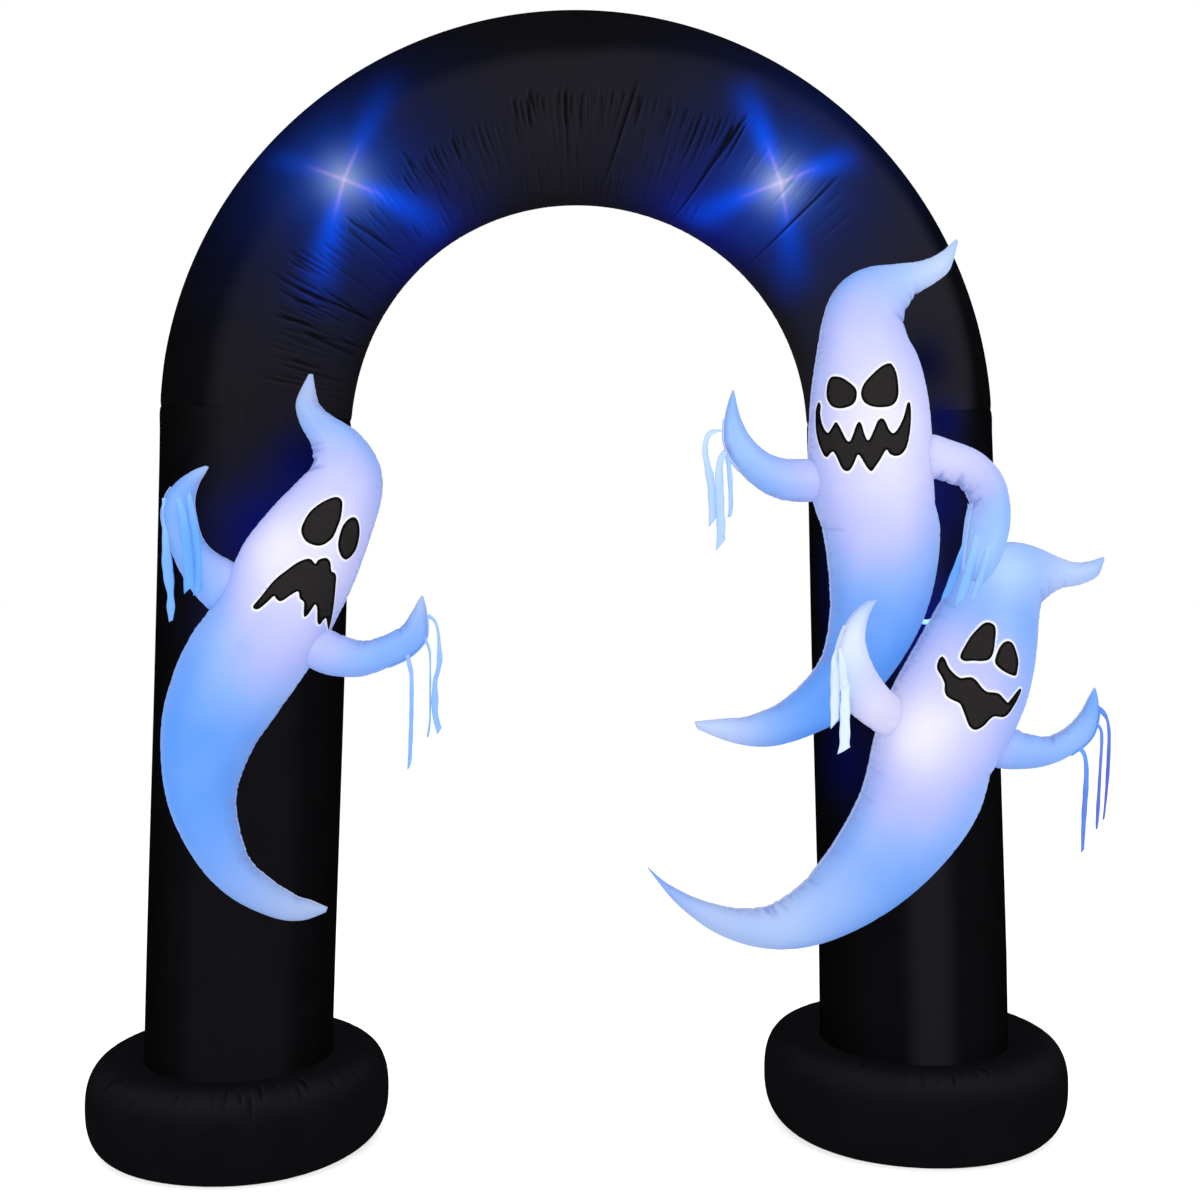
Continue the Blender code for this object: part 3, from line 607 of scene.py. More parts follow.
# ---------------------------------------------------------------- ghost bodies
# Each ghost is a front and a back panel of thin white polyester, sewn together round the edge and blown up.
# The seam puckers the cloth at right angles to it, most of all in its inward bends. A lamp inside lights it.
BODY_TABLES = {  # x, z, width, lean of the width in degrees and depth, from the crest's tip to the tail's end
    "left": [
        (-0.622, 1.834, 0.012, 0, 0.012),
        (-0.630, 1.775, 0.052, 3, 0.045),
        (-0.612, 1.735, 0.076, 14, 0.065),
        (-0.575, 1.695, 0.108, 18, 0.085),
        (-0.556, 1.650, 0.145, 14, 0.115),
        (-0.560, 1.605, 0.192, 6, 0.145),
        (-0.590, 1.545, 0.248, 5, 0.190),
        (-0.632, 1.465, 0.280, 2, 0.220),
        (-0.672, 1.370, 0.283, -2, 0.230),
        (-0.712, 1.295, 0.283, -5, 0.230),
        (-0.755, 1.225, 0.277, -13, 0.225),
        (-0.812, 1.130, 0.250, -21, 0.205),
        (-0.856, 1.035, 0.215, -22, 0.180),
        (-0.873, 0.930, 0.172, -11, 0.150),
        (-0.862, 0.840, 0.143, 1, 0.125),
        (-0.822, 0.745, 0.112, 13, 0.100),
        (-0.765, 0.685, 0.097, 26, 0.088),
        (-0.690, 0.642, 0.074, 42, 0.068),
        (-0.640, 0.631, 0.052, 62, 0.048),
        (-0.596, 0.632, 0.014, 71, 0.014),
    ],
    "upper": [
        (0.845, 2.151, 0.012, -62, 0.012),
        (0.815, 2.104, 0.048, -53, 0.045),
        (0.776, 2.080, 0.066, -50, 0.060),
        (0.725, 2.062, 0.092, -50, 0.080),
        (0.684, 2.042, 0.134, -45, 0.110),
        (0.655, 2.015, 0.170, -36, 0.135),
        (0.642, 1.975, 0.204, -28, 0.155),
        (0.645, 1.925, 0.240, -22, 0.180),
        (0.647, 1.855, 0.264, -16, 0.205),
        (0.646, 1.765, 0.282, -9, 0.225),
        (0.647, 1.655, 0.290, -3, 0.235),
        (0.655, 1.560, 0.285, -1, 0.230),
        (0.674, 1.480, 0.272, 0, 0.215),
        (0.675, 1.370, 0.246, -3, 0.195),
        (0.660, 1.275, 0.214, -6, 0.170),
        (0.622, 1.185, 0.175, -14, 0.145),
        (0.566, 1.114, 0.147, -27, 0.122),
        (0.486, 1.058, 0.114, -41, 0.098),
        (0.397, 1.026, 0.092, -54, 0.080),
        (0.320, 1.026, 0.067, -63, 0.060),
        (0.245, 1.040, 0.022, -71, 0.020),
    ],
    "lower": [
        (1.190, 1.421, 0.014, -80, 0.014),
        (1.168, 1.400, 0.042, -64, 0.038),
        (1.130, 1.389, 0.058, -72, 0.052),
        (1.085, 1.391, 0.080, -79, 0.068),
        (1.043, 1.391, 0.124, -76, 0.095),
        (1.007, 1.386, 0.168, -66, 0.125),
        (0.970, 1.358, 0.224, -55, 0.155),
        (0.942, 1.315, 0.264, -47, 0.180),
        (0.918, 1.245, 0.276, -40, 0.205),
        (0.882, 1.160, 0.293, -34, 0.225),
        (0.829, 1.054, 0.300, -29, 0.235),
        (0.794, 0.975, 0.286, -20, 0.230),
        (0.765, 0.870, 0.276, -15, 0.215),
        (0.715, 0.780, 0.258, -17, 0.195),
        (0.645, 0.695, 0.224, -24, 0.170),
        (0.560, 0.625, 0.176, -35, 0.142),
        (0.463, 0.579, 0.138, -46, 0.118),
        (0.370, 0.573, 0.111, -59, 0.098),
        (0.275, 0.601, 0.080, -72, 0.072),
        (0.190, 0.655, 0.048, -72, 0.044),
        (0.132, 0.716, 0.012, -66, 0.012),
    ],
}
BODY_DEPTH = {"left": -0.320, "upper": -0.295, "lower": -0.320}  # the middle of each body, front to back
# Where a lamp whitens the cloth: x, z, radius and strength. Then painted light and shade, where a colour
# stands for more or less of the lamps' light, as in the greyer thin ends: x, z, radius, colour and share.
GHOST_LIGHT = {
    "left": (
        [
            (-0.735, 1.440, 0.095, 0.28),
            (-0.590, 1.460, 0.220, 0.70),
            (-0.675, 1.195, 0.150, 0.26),
            (-0.550, 1.660, 0.110, 0.10),
        ],
        [
            (-0.625, 1.800, 0.090, "#A9BAE2", 0.85),
            (-0.620, 0.640, 0.200, "#A9BAE2", 0.85),
            (-0.890, 1.510, 0.080, "#76A8F4", 0.70),
            (-0.850, 1.625, 0.040, "#A9BEE6", 0.60),
            (-0.450, 1.215, 0.080, "#7CACFA", 0.75),
            (-0.378, 1.340, 0.050, "#A9BEE6", 0.60),
        ],
    ),
    "upper": (
        [
            (0.610, 1.740, 0.095, 0.12),
            (0.660, 1.730, 0.280, 0.66),
            (0.640, 1.500, 0.140, 0.20),
            (0.580, 1.980, 0.140, 0.14),
            (0.830, 1.620, 0.090, 0.20),
        ],
        [
            (0.800, 2.090, 0.120, "#C2D4F4", 0.85),
            (0.280, 1.035, 0.130, "#C4D4F6", 0.85),
            (0.330, 1.680, 0.100, "#9CC2FA", 0.75),
            (0.885, 1.440, 0.110, "#9CC4FA", 0.70),
        ],
    ),
    "lower": (
        [(0.730, 1.020, 0.090, 0.30), (0.780, 1.090, 0.230, 0.60), (0.680, 0.850, 0.150, 0.18)],
        [
            (1.110, 1.400, 0.120, "#BACEF6", 0.85),
            (0.930, 1.420, 0.080, "#BAD8FF", 0.80),
            (0.550, 0.660, 0.110, "#A2C0F6", 0.60),
            (0.430, 0.600, 0.100, "#B8CEF8", 0.70),
            (0.290, 0.610, 0.170, "#B2C6F2", 0.85),
            (0.565, 1.240, 0.110, "#DCE8FD", 0.95),
            (0.640, 1.090, 0.080, "#E6E2FD", 0.80),
            (1.095, 1.020, 0.080, "#97BCF8", 0.70),
        ],
    ),
}


def between(a, b, c, d, t):
    """The share t of the way from b to c, on a soft curve that also passes through a and d."""
    return b + 0.5 * t * (c - a + t * (2 * a - 5 * b + 4 * c - d + t * (3 * (b - c) + d - a)))


def flow(rows, step):
    """A soft curve through a table's rows, resampled evenly along x and z. Gives how far along each sample
    and each row of the table lies, and the samples."""
    rows = np.array(rows, float)
    padded = np.vstack([rows[0], rows, rows[-1]])
    t = np.linspace(0, 1, 24, endpoint=False)[:, None]
    dense = [between(*four, t) for four in zip(padded, padded[1:], padded[2:], padded[3:])]
    dense = np.vstack([*dense, rows[-1:]])
    along = np.concatenate([[0], np.cumsum(np.hypot(*np.diff(dense[:, :2], axis=0).T))])
    even = np.linspace(0, along[-1], round(along[-1] / step) + 1)
    return even, along[:: len(t)], np.column_stack([np.interp(even, along, column) for column in dense.T])


def mixed(tree, share, below, above, amount):
    """One colour over another by a share."""
    inputs = {"Factor": maths(tree, "MULTIPLY", share, amount), "A": below, "B": above}
    return add_node(tree, "ShaderNodeMix", inputs, data_type="RGBA").outputs["Result"]


LAMP_FORWARD = 0.11  # how far in front of the middle of a body its lamp's light is strongest
HALO, HALO_SOFT = 0.0050, 0.003  # how far the brighter cloth round a patch reaches, and how softly it ends
LIT_BASE, LIT_GLOW = 0.26, 0.43  # its colour under the studio's light, and its share of the lamps'


def lit_polyester(ghost, lamps, painted_light_tints, depth):
    """Thin white ripstop polyester, woven and uncoated, with lamp light coming through it. It is white before
    a lamp and sky blue away from it. Painted light and shade make it bluer along the seams, tinted at given
    places, and darker in the puckers."""
    made, tree, shader = new_material(f"lit_white_polyester_{ghost}", "#6A7CA8", 0.55, 0.25)
    coords = add_node(tree, "ShaderNodeTexCoord").outputs["Object"]
    total = maths(tree, "MULTIPLY_ADD", noise(tree, coords, 0.11, 2.0), 0.14, -0.07)
    for x, z, radius, strength in lamps:
        share = spot(tree, coords, (x, ARCH_Y + depth - LAMP_FORWARD, z), radius)
        total = maths(tree, "MULTIPLY_ADD", share, strength, total)
    stops = ((0.0, "#5499FA"), (0.18, "#84AEFC"), (0.38, "#B1BBFE"), (0.62, "#CFCFFE"), (0.95, "#F6F3FF"))
    edge = painted(tree, "edge")
    colour = ramp(tree, total, stops)
    # Painted shade: bluer along the seams, where less of the lamps' light reaches.
    colour = mixed(tree, edge, colour, linear("#8CB4FA"), 0.24)
    flat = vectors(tree, "MULTIPLY", coords, (1, 0, 1))
    # Painted light and shade at given places, bluer or whiter as less or more of the lamps' light reaches.
    for x, z, radius, painted_light_tint, strength in painted_light_tints:
        share = spot(tree, flat, (x, 0, z), radius)
        colour = mixed(tree, share, colour, linear(painted_light_tint), strength)
    # Fine puckers, 7 mm apart along the seam and about 30 mm long, fade out away from it. They are bumped,
    # and painted darker as painted shade, as the creases are.
    cloth_way = add_node(tree, "ShaderNodeAttribute", attribute_name="cloth").outputs["Vector"]
    stretch = vectors(tree, "MULTIPLY", cloth_way, (1 / 0.030, 1 / 0.007, 1.0))
    streak = maths(tree, "MULTIPLY", noise(tree, stretch, 1.0, 1.5), edge)
    colour = mixed(tree, faded(tree, streak, 0.34, 0.58), colour, linear("#8498E4"), 0.50)
    colour = mixed(tree, painted(tree, "crease"), colour, linear("#7A8EDA"), 0.70)
    # Along the edge, where the seam allowance doubles the cloth, a thin pale line is painted: a painted
    # highlight.
    from_seam = add_node(tree, "ShaderNodeSeparateXYZ", {0: cloth_way}).outputs["X"]
    painted_seam_highlight = faded(tree, from_seam, 0.0050, 0.0015)
    colour = mixed(tree, painted_seam_highlight, colour, linear("#DCE8FF"), 0.60)
    halo = faded(tree, painted(tree, "from_patch"), HALO + HALO_SOFT, HALO - HALO_SOFT)
    colour = mixed(tree, halo, colour, linear("#FFFFFF"), 0.9)
    lit(tree, shader, colour, LIT_BASE, LIT_GLOW)
    grain = noise(tree, coords, 0.003, 1.0)
    bumped(tree, shader, (streak, 0.5, 0.003), (grain, 0.10, 0.0006))
    return made


GROOVE_WIDTH, GROOVE_DEPTH = 0.0025, 0.0016  # the line that an edge seam presses into the cloth
JOIN_WIDTH, JOIN_DEPTH = 0.006, 0.0015  # the dip where an arm is sewn to its body
JOIN_LINE, JOIN_SHADE = 0.0035, 0.15  # JOIN_LINE, JOIN_SHADE = 0.0035, 0.15 # the line of painted shade along that seam
GHOST_SLACK = 0.0012  # how far a ghost's cloth swells or sinks between its seams


def edge_puckers(line, turn_way, width, random, pitch, press_depth):
    """Creases that cross an edge seam, closer and deeper where it bends inwards. Gives how far along the seam
    each row lies, and the creases."""
    run = np.concatenate([[0], np.cumsum(np.linalg.norm(np.diff(line, axis=0), axis=1))])
    # How sharply the seam bends inwards: 1 over the bend's radius in metres
    heading = np.unwrap(np.arctan2(np.gradient(line[:, 2]), np.gradient(line[:, 0])))
    bend = turn_way * np.gradient(heading) / np.maximum(np.gradient(run), 1e-4)
    inward = np.clip(np.convolve(bend, np.ones(9) / 9, "same") / 9, 0, 1.5)
    lines, place = [], random.uniform(0.2, 1.0) * pitch
    while place < run[-1]:
        pull, size = np.interp(place, run, inward), np.interp(place, run, width)
        reach = size * random.uniform(0.07, 0.20) * (1 + 1.4 * pull)
        deep = press_depth * random.uniform(0.15, 1.0) * (0.6 + pull) * min(1, size / 0.12)
        drift = random.uniform(-0.15, 0.15) * reach
        lines.append((place - drift, -reach, place + drift, reach, random.uniform(0.0030, 0.0048), deep))
        place += pitch * random.uniform(0.5, 1.7) / (1 + pull)
    return run, lines


def shoulder_puckers(plain, walk, whole, random, press_depth, against):
    """What the seam that joins an arm to its body does to the arm's cloth: how far off the body each place
    lies, and how deep it is puckered there."""
    off = [against.find_nearest(corner)[3] for corner in plain.reshape(-1, 3)]
    off = np.array(off).reshape(walk.shape)
    around = float(whole.mean())
    lines, place = [], 0.0
    while place < around:
        place += random.uniform(0.008, 0.022)
        reach = random.uniform(0.012, 0.055)
        lines.append((place, -reach, place, reach, 0.0040, press_depth * random.uniform(0.1, 0.5)))
    return off, creased(walk / whole * around, off, lines, around)


def blown_up(rows, depth_at, step, columns, random, pitch, press_depth, against=None):
    """A filled two-panel piece: its points, and what its cloth does there. Columns start at the seam on the
    side of the lean. The first of the two counts of columns is for the front panel."""
    along, marks, table = flow(rows, step)
    x, z, width, lean, depth = table[:, :5].T
    y = table[:, 5] if table.shape[1] > 5 else np.full(len(x), depth_at)
    lean = np.radians(lean)
    seam = columns[0]
    round_it = pi * np.concatenate([np.arange(seam) / seam, 1 + np.arange(columns[1]) / columns[1]])
    side_way = np.stack([np.cos(lean), 0 * lean, np.sin(lean)], -1)[:, None, :]
    middle = np.stack([x, y + ARCH_Y, z], -1)[:, None, :]
    half_width, half_depth = width[:, None] / 2 - CLOTH_IN, depth[:, None] / 2 - CLOTH_IN
    to_side, to_front = np.cos(round_it)[None, :], np.sin(round_it)[None, :]

    def placed(press):
        """The cloth's places, each pressed in at right angles to its face."""
        slope = np.hypot(to_side * half_depth, to_front * half_width)
        go_side = half_width * to_side - press * to_side * half_depth / slope
        go_front = half_depth * to_front - press * to_front * half_width / slope
        points = middle + go_side[..., None] * side_way
        points[..., 1] -= go_front
        return points

    plain = placed(0.0)
    steps = np.linalg.norm(np.roll(plain, -1, 1) - plain, axis=-1)
    walk = np.cumsum(steps, 1) - steps
    whole = steps.sum(1, keepdims=True)
    press, nearest = np.zeros(walk.shape), np.full(walk.shape, 9.0)
    for column, turn_way in ((0, 1), (seam, -1)):
        away = (walk - walk[:, column : column + 1] + whole / 2) % whole - whole / 2
        nearest = np.minimum(nearest, np.abs(away))
        run, lines = edge_puckers(plain[:, column], turn_way, width, random, pitch, press_depth)
        press += creased(run[:, None], away, lines)
    wide = np.clip(width[:, None] / 0.08, 0, 1)
    edge = np.exp(-((nearest / (0.17 * width[:, None] + 0.004)) ** 2))
    crease = np.clip(press / press_depth / 1.3, 0, 1)
    groove = np.exp(-((nearest / GROOVE_WIDTH) ** 2))
    # The groove is pressed in, and also painted darker as painted shade.
    press = press + GROOVE_DEPTH * groove * wide
    crease = np.maximum(crease, 0.20 * groove * wide)
    if against:
        off, gather = shoulder_puckers(plain, walk, whole, random, press_depth, against)
        press = press + gather + JOIN_DEPTH * np.exp(-((off / JOIN_WIDTH) ** 2))
        crease = np.maximum(crease, np.clip(gather / press_depth / 3, 0, 1))
        crease = np.maximum(crease, JOIN_SHADE * np.exp(-((off / JOIN_LINE) ** 2)))
    slack = GHOST_SLACK * np.sin(19 * along[:, None] + 2 * to_side) * wide
    points = placed(press + slack * np.sin(2 * round_it)[None, :] ** 2)
    cloth_way = np.stack(np.broadcast_arrays(nearest, along[:, None], np.sign(to_front)), -1)
    return points, marks / along[-1], {"crease": crease, "edge": edge, "cloth": cloth_way}


OFF_ARCH = 0.0010  # between a ghost's cloth and the arch's


def push(points, middles, radii):
    """Moves points out to at least a radius, plus a small gap, from their middles."""
    away = points - middles
    distance = np.linalg.norm(away, axis=1)
    short = np.maximum(radii + OFF_ARCH - distance, 0)
    points += away * (short / np.maximum(distance, 1e-6))[:, None]


def off_the_arch(points):
    """The same points, with those inside a leg or the bow pressed back to its face, where the ghost lies
    against it."""
    flat = points.reshape(-1, 3).copy()
    for foot_x, foot_radius in FEET.values():
        low = np.array([foot_x, ARCH_Y, LEG_STRAIGHT])
        run = np.array([np.sign(foot_x) * BOW_RADIUS, ARCH_Y, SPRING_HEIGHT]) - low
        share = np.clip((flat - low) @ run / (run @ run), 0, 1)
        push(flat, low + share[:, None] * run, foot_radius + (TUBE_RADIUS - foot_radius) * share)
    angle = np.arctan2(flat[:, 2] - SPRING_HEIGHT, flat[:, 0])
    x, z = BOW_RADIUS * np.cos(angle), SPRING_HEIGHT + BOW_RADIUS * np.sin(angle)
    middles = np.stack([x, np.full(len(flat), ARCH_Y), z], -1)
    push(flat, middles, np.where(flat[:, 2] > SPRING_HEIGHT, TUBE_RADIUS, 0))
    return flat.reshape(points.shape)


def tree_of(piece):
    """A search tree over a piece's faces."""
    corners = [corner.co for corner in piece.data.vertices]
    return BVHTree.FromPolygons(corners, [face.vertices[:] for face in piece.data.polygons])


BODY_STEP, BODY_COLUMNS = 0.0038, (96, 64)
BODY_PITCH, BODY_PRESS = 0.011, 0.0026
ghost_cloth, bodies, body_trees = {}, {}, {}
for ghost, rows in BODY_TABLES.items():
    lamps, painted_light_tints = GHOST_LIGHT[ghost]
    ghost_cloth[ghost] = lit_polyester(ghost, lamps, painted_light_tints, BODY_DEPTH[ghost])
    points, _, cloth = blown_up(
        rows, BODY_DEPTH[ghost], BODY_STEP, BODY_COLUMNS, Random(f"{ghost} body"), BODY_PITCH, BODY_PRESS
    )
    body = sewn(
        f"ghost_{ghost}_skin", off_the_arch(points), ghost_cloth[ghost], "pale_blue_polyester",
        from_patch=np.ones(points.shape[:2]), **cloth,
    )
    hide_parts(f"ghost_{ghost}_body")
    bodies[ghost], body_trees[ghost] = body, tree_of(body)

# ---------------------------------------------------------------- ghost arms
# The arms are narrow filled tubes of the same lit cloth, sewn to the shoulders, and end in a pointed hand.
ARM_TABLES = {  # x, z, width, lean, depth and y, from inside the shoulder to the tip of the hand
    ("left", "raised"): [
        (-0.735, 1.335, 0.115, 80, 0.090, -0.320),
        (-0.800, 1.348, 0.138, 78, 0.095, -0.325),
        (-0.850, 1.385, 0.118, 74, 0.092, -0.335),
        (-0.881, 1.430, 0.096, 60, 0.086, -0.345),
        (-0.899, 1.485, 0.087, 42, 0.078, -0.355),
        (-0.905, 1.540, 0.077, 19, 0.068, -0.365),
        (-0.889, 1.585, 0.062, 7, 0.052, -0.370),
        (-0.862, 1.613, 0.035, -6, 0.030, -0.370),
        (-0.842, 1.627, 0.010, -19, 0.010, -0.370),
    ],
    ("left", "out"): [
        (-0.690, 1.245, 0.100, 72, 0.090, -0.320),
        (-0.622, 1.232, 0.108, 73, 0.095, -0.330),
        (-0.572, 1.211, 0.098, 78, 0.090, -0.340),
        (-0.512, 1.203, 0.085, 89, 0.080, -0.350),
        (-0.456, 1.219, 0.077, 96, 0.070, -0.360),
        (-0.411, 1.243, 0.077, 106, 0.062, -0.365),
        (-0.383, 1.277, 0.074, 116, 0.050, -0.370),
        (-0.376, 1.312, 0.043, 125, 0.032, -0.370),
        (-0.375, 1.342, 0.008, 140, 0.008, -0.370),
    ],
    ("upper", "out"): [
        (0.575, 1.602, 0.100, 100, 0.090, -0.295),
        (0.502, 1.602, 0.103, 98, 0.095, -0.300),
        (0.450, 1.602, 0.101, 93, 0.090, -0.310),
        (0.398, 1.619, 0.092, 81, 0.082, -0.320),
        (0.351, 1.658, 0.083, 69, 0.072, -0.330),
        (0.322, 1.703, 0.078, 60, 0.058, -0.340),
        (0.315, 1.756, 0.048, 53, 0.038, -0.345),
        (0.320, 1.802, 0.008, 40, 0.008, -0.345),
    ],
    ("upper", "bent"): [
        (0.705, 1.655, 0.110, 92, 0.090, -0.295),
        (0.767, 1.656, 0.114, 87, 0.095, -0.310),
        (0.814, 1.646, 0.100, 80, 0.092, -0.330),
        (0.859, 1.622, 0.098, 66, 0.088, -0.365),
        (0.882, 1.580, 0.104, 47, 0.086, -0.400),
        (0.880, 1.530, 0.113, 30, 0.084, -0.430),
        (0.872, 1.477, 0.114, 23, 0.080, -0.450),
        (0.860, 1.424, 0.100, 20, 0.070, -0.462),
        (0.855, 1.390, 0.062, 18, 0.045, -0.468),
        (0.856, 1.370, 0.014, 15, 0.012, -0.470),
    ],
    ("lower", "raised"): [
        (0.745, 1.030, 0.095, 75, 0.085, -0.325),
        (0.690, 1.060, 0.100, 70, 0.085, -0.350),
        (0.640, 1.092, 0.102, 62, 0.082, -0.400),
        (0.588, 1.145, 0.112, 51, 0.078, -0.435),
        (0.566, 1.210, 0.092, 38, 0.070, -0.452),
        (0.571, 1.265, 0.070, 29, 0.056, -0.460),
        (0.591, 1.310, 0.050, 17, 0.040, -0.460),
        (0.614, 1.333, 0.024, 5, 0.018, -0.460),
    ],
    ("lower", "out"): [
        (0.872, 1.005, 0.100, 66, 0.090, -0.320),
        (0.947, 0.989, 0.107, 67, 0.095, -0.330),
        (0.997, 0.979, 0.089, 75, 0.084, -0.340),
        (1.050, 0.981, 0.073, 86, 0.070, -0.350),
        (1.096, 1.003, 0.068, 99, 0.060, -0.360),
        (1.134, 1.040, 0.064, 117, 0.050, -0.365),
        (1.151, 1.090, 0.042, 124, 0.034, -0.370),
        (1.154, 1.127, 0.008, 140, 0.008, -0.370),
    ],
}
ARM_STEP, ARM_COLUMNS = 0.0034, (44, 32)
ARM_PITCH, ARM_PRESS = 0.010, 0.0020


def cut_by(target, other):
    """Takes the room of another piece out of this one. MANIFOLD is quick and sure on closed meshes."""
    step = target.modifiers.new("cut", "BOOLEAN")
    step.operation, step.solver, step.object = "DIFFERENCE", "MANIFOLD", other
    bpy.ops.object.select_all(action="DESELECT")
    bpy.context.view_layer.objects.active = target
    target.select_set(True)
    bpy.ops.object.modifier_apply(modifier=step.name)


arm_points = {}
for (ghost, arm_name), rows in ARM_TABLES.items():
    points, marks, cloth = blown_up(
        rows, 0, ARM_STEP, ARM_COLUMNS, Random(f"{ghost} {arm_name}"), ARM_PITCH, ARM_PRESS, body_trees[ghost]
    )
    arm = sewn(
        f"ghost_{ghost}_arm_{arm_name}_skin", points, ghost_cloth[ghost], "pale_blue_polyester",
        from_patch=np.ones(points.shape[:2]), **cloth,
    )
    # A line of painted shade marks the same seam on the body's cloth.
    arm_tree, body = tree_of(arm), bodies[ghost]
    low, high = points.reshape(-1, 3).min(0) - 0.02, points.reshape(-1, 3).max(0) + 0.02
    creases = body.data.attributes["crease"].data
    for corner, mark in zip(body.data.vertices, creases):
        if all(a < b < c for a, b, c in zip(low, corner.co, high)):
            off = arm_tree.find_nearest(corner.co)[3]
            mark.value = max(mark.value, JOIN_SHADE * np.exp(-((off / JOIN_LINE) ** 2)))
    cut_by(arm, body)
    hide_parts(f"ghost_{ghost}_arm_{arm_name}")
    arm_points[ghost, arm_name] = points, marks

# ---------------------------------------------------------------- face patches
# Each ghost has two eyes and a mouth of thin dark cloth, laid flat on the head. The lit cloth shows brighter
# in a narrow band round each of them.
FACE_PLANES = {"left": -0.43, "upper": -0.4, "lower": -0.43}  # at the front of each head
# Outlines of the patches on those planes, in millimetres across and up, as they look from the camera
FACES = {
    "left": {
        "eye_1": [
            (-560, 1559), (-547, 1554), (-544, 1541), (-548, 1513), (-555, 1494), (-565, 1472),
            (-583, 1457), (-601, 1454), (-622, 1463), (-632, 1482), (-629, 1500), (-613, 1527),
            (-588, 1547),
        ],
        "eye_2": [
            (-521, 1516), (-512, 1509), (-508, 1488), (-511, 1463), (-519, 1441), (-536, 1424),
            (-548, 1432), (-554, 1453), (-551, 1475), (-544, 1496), (-533, 1510),
        ],
        "mouth": [
            (-736, 1324), (-721, 1342), (-692, 1378), (-663, 1402), (-639, 1419), (-619, 1426),
            (-610, 1423), (-603, 1415), (-597, 1423), (-587, 1427), (-578, 1427), (-571, 1418),
            (-569, 1399), (-563, 1396), (-559, 1387), (-561, 1362), (-564, 1332), (-569, 1301),
            (-576, 1273), (-579, 1287), (-581, 1297), (-587, 1294), (-594, 1284), (-599, 1286),
            (-600, 1297), (-600, 1318), (-604, 1327), (-611, 1318), (-620, 1305), (-627, 1300),
            (-629, 1309), (-628, 1331), (-637, 1340), (-640, 1355), (-656, 1347), (-676, 1334),
            (-686, 1338), (-692, 1345), (-705, 1333), (-723, 1318), (-733, 1317),
        ],
    },
    "upper": {
        "eye_1": [
            (543, 1829), (557, 1826), (573, 1816), (587, 1803), (590, 1789), (586, 1773), (574, 1763),
            (552, 1758), (534, 1763), (524, 1778), (522, 1795), (525, 1815), (532, 1827),
        ],
        "eye_2": [
            (661, 1859), (670, 1854), (679, 1835), (683, 1807), (683, 1789), (678, 1774), (666, 1764),
            (642, 1761), (621, 1764), (605, 1774), (599, 1792), (605, 1812), (620, 1830), (643, 1851),
        ],
        "mouth": [
            (505, 1772), (509, 1763), (508, 1746), (512, 1725), (519, 1710), (526, 1704), (533, 1713),
            (543, 1728), (551, 1719), (560, 1702), (568, 1688), (575, 1686), (582, 1701), (589, 1721),
            (596, 1729), (602, 1721), (607, 1704), (614, 1689), (620, 1692), (630, 1714), (637, 1731),
            (646, 1737), (654, 1731), (662, 1714), (671, 1704), (681, 1711), (692, 1731), (699, 1752),
            (703, 1769), (708, 1773), (711, 1764), (712, 1741), (710, 1708), (703, 1674), (691, 1657),
            (677, 1653), (665, 1658), (657, 1667), (645, 1647), (632, 1628), (624, 1619), (614, 1627),
            (604, 1643), (597, 1654), (592, 1654), (584, 1635), (575, 1621), (564, 1620), (555, 1630),
            (546, 1650), (538, 1662), (531, 1658), (524, 1650), (516, 1656), (506, 1679), (500, 1703),
            (498, 1732), (499, 1756),
        ],
    },
    "lower": {
        "eye_1": [
            (885, 1282), (896, 1277), (901, 1266), (900, 1244), (896, 1214), (887, 1199), (871, 1195),
            (850, 1196), (834, 1195), (824, 1199), (821, 1207), (829, 1225), (844, 1250), (863, 1271),
            (874, 1280),
        ],
        "eye_2": [
            (930, 1240), (940, 1234), (948, 1216), (953, 1194), (951, 1175), (948, 1163), (939, 1163),
            (920, 1172), (907, 1182), (900, 1193), (903, 1209), (911, 1227), (920, 1237),
        ],
        "mouth": [
            (779, 1206), (787, 1200), (794, 1184), (805, 1170), (821, 1158), (835, 1159), (848, 1159),
            (859, 1151), (871, 1136), (882, 1127), (898, 1125), (910, 1122), (921, 1111), (930, 1102),
            (936, 1108), (948, 1123), (957, 1133), (960, 1129), (952, 1109), (941, 1090), (931, 1076),
            (919, 1069), (900, 1071), (888, 1063), (876, 1050), (858, 1041), (844, 1048), (835, 1068),
            (828, 1086), (821, 1100), (807, 1107), (792, 1116), (786, 1129), (786, 1145), (779, 1161),
            (769, 1178), (771, 1195),
        ],
    },
}
PATCH_GRID = 0.006
PATCH_UNDER, PATCH_OVER = 0.0004, 0.0016  # the patch's underside and its face, above the head's cloth


def soft_loop(corners, steps):
    """A closed soft curve through corners."""
    corners = np.array(corners, float)
    a, b, c, d = (np.roll(corners, turn, 0)[:, None, :] for turn in (1, 0, -1, -2))
    t = (np.arange(steps) / steps)[None, :, None]
    return between(a, b, c, d, t).reshape(-1, 2)


def within(outline, x, z):
    """Whether a place lies inside an outline."""
    (x0, z0), (x1, z1) = outline.T, np.roll(outline, -1, 0).T
    crosses = (z0 > z) != (z1 > z)
    at = x0 + (z - z0) * (x1 - x0) / np.where(crosses, z1 - z0, 1)
    return bool((crosses & (x < at)).sum() % 2)


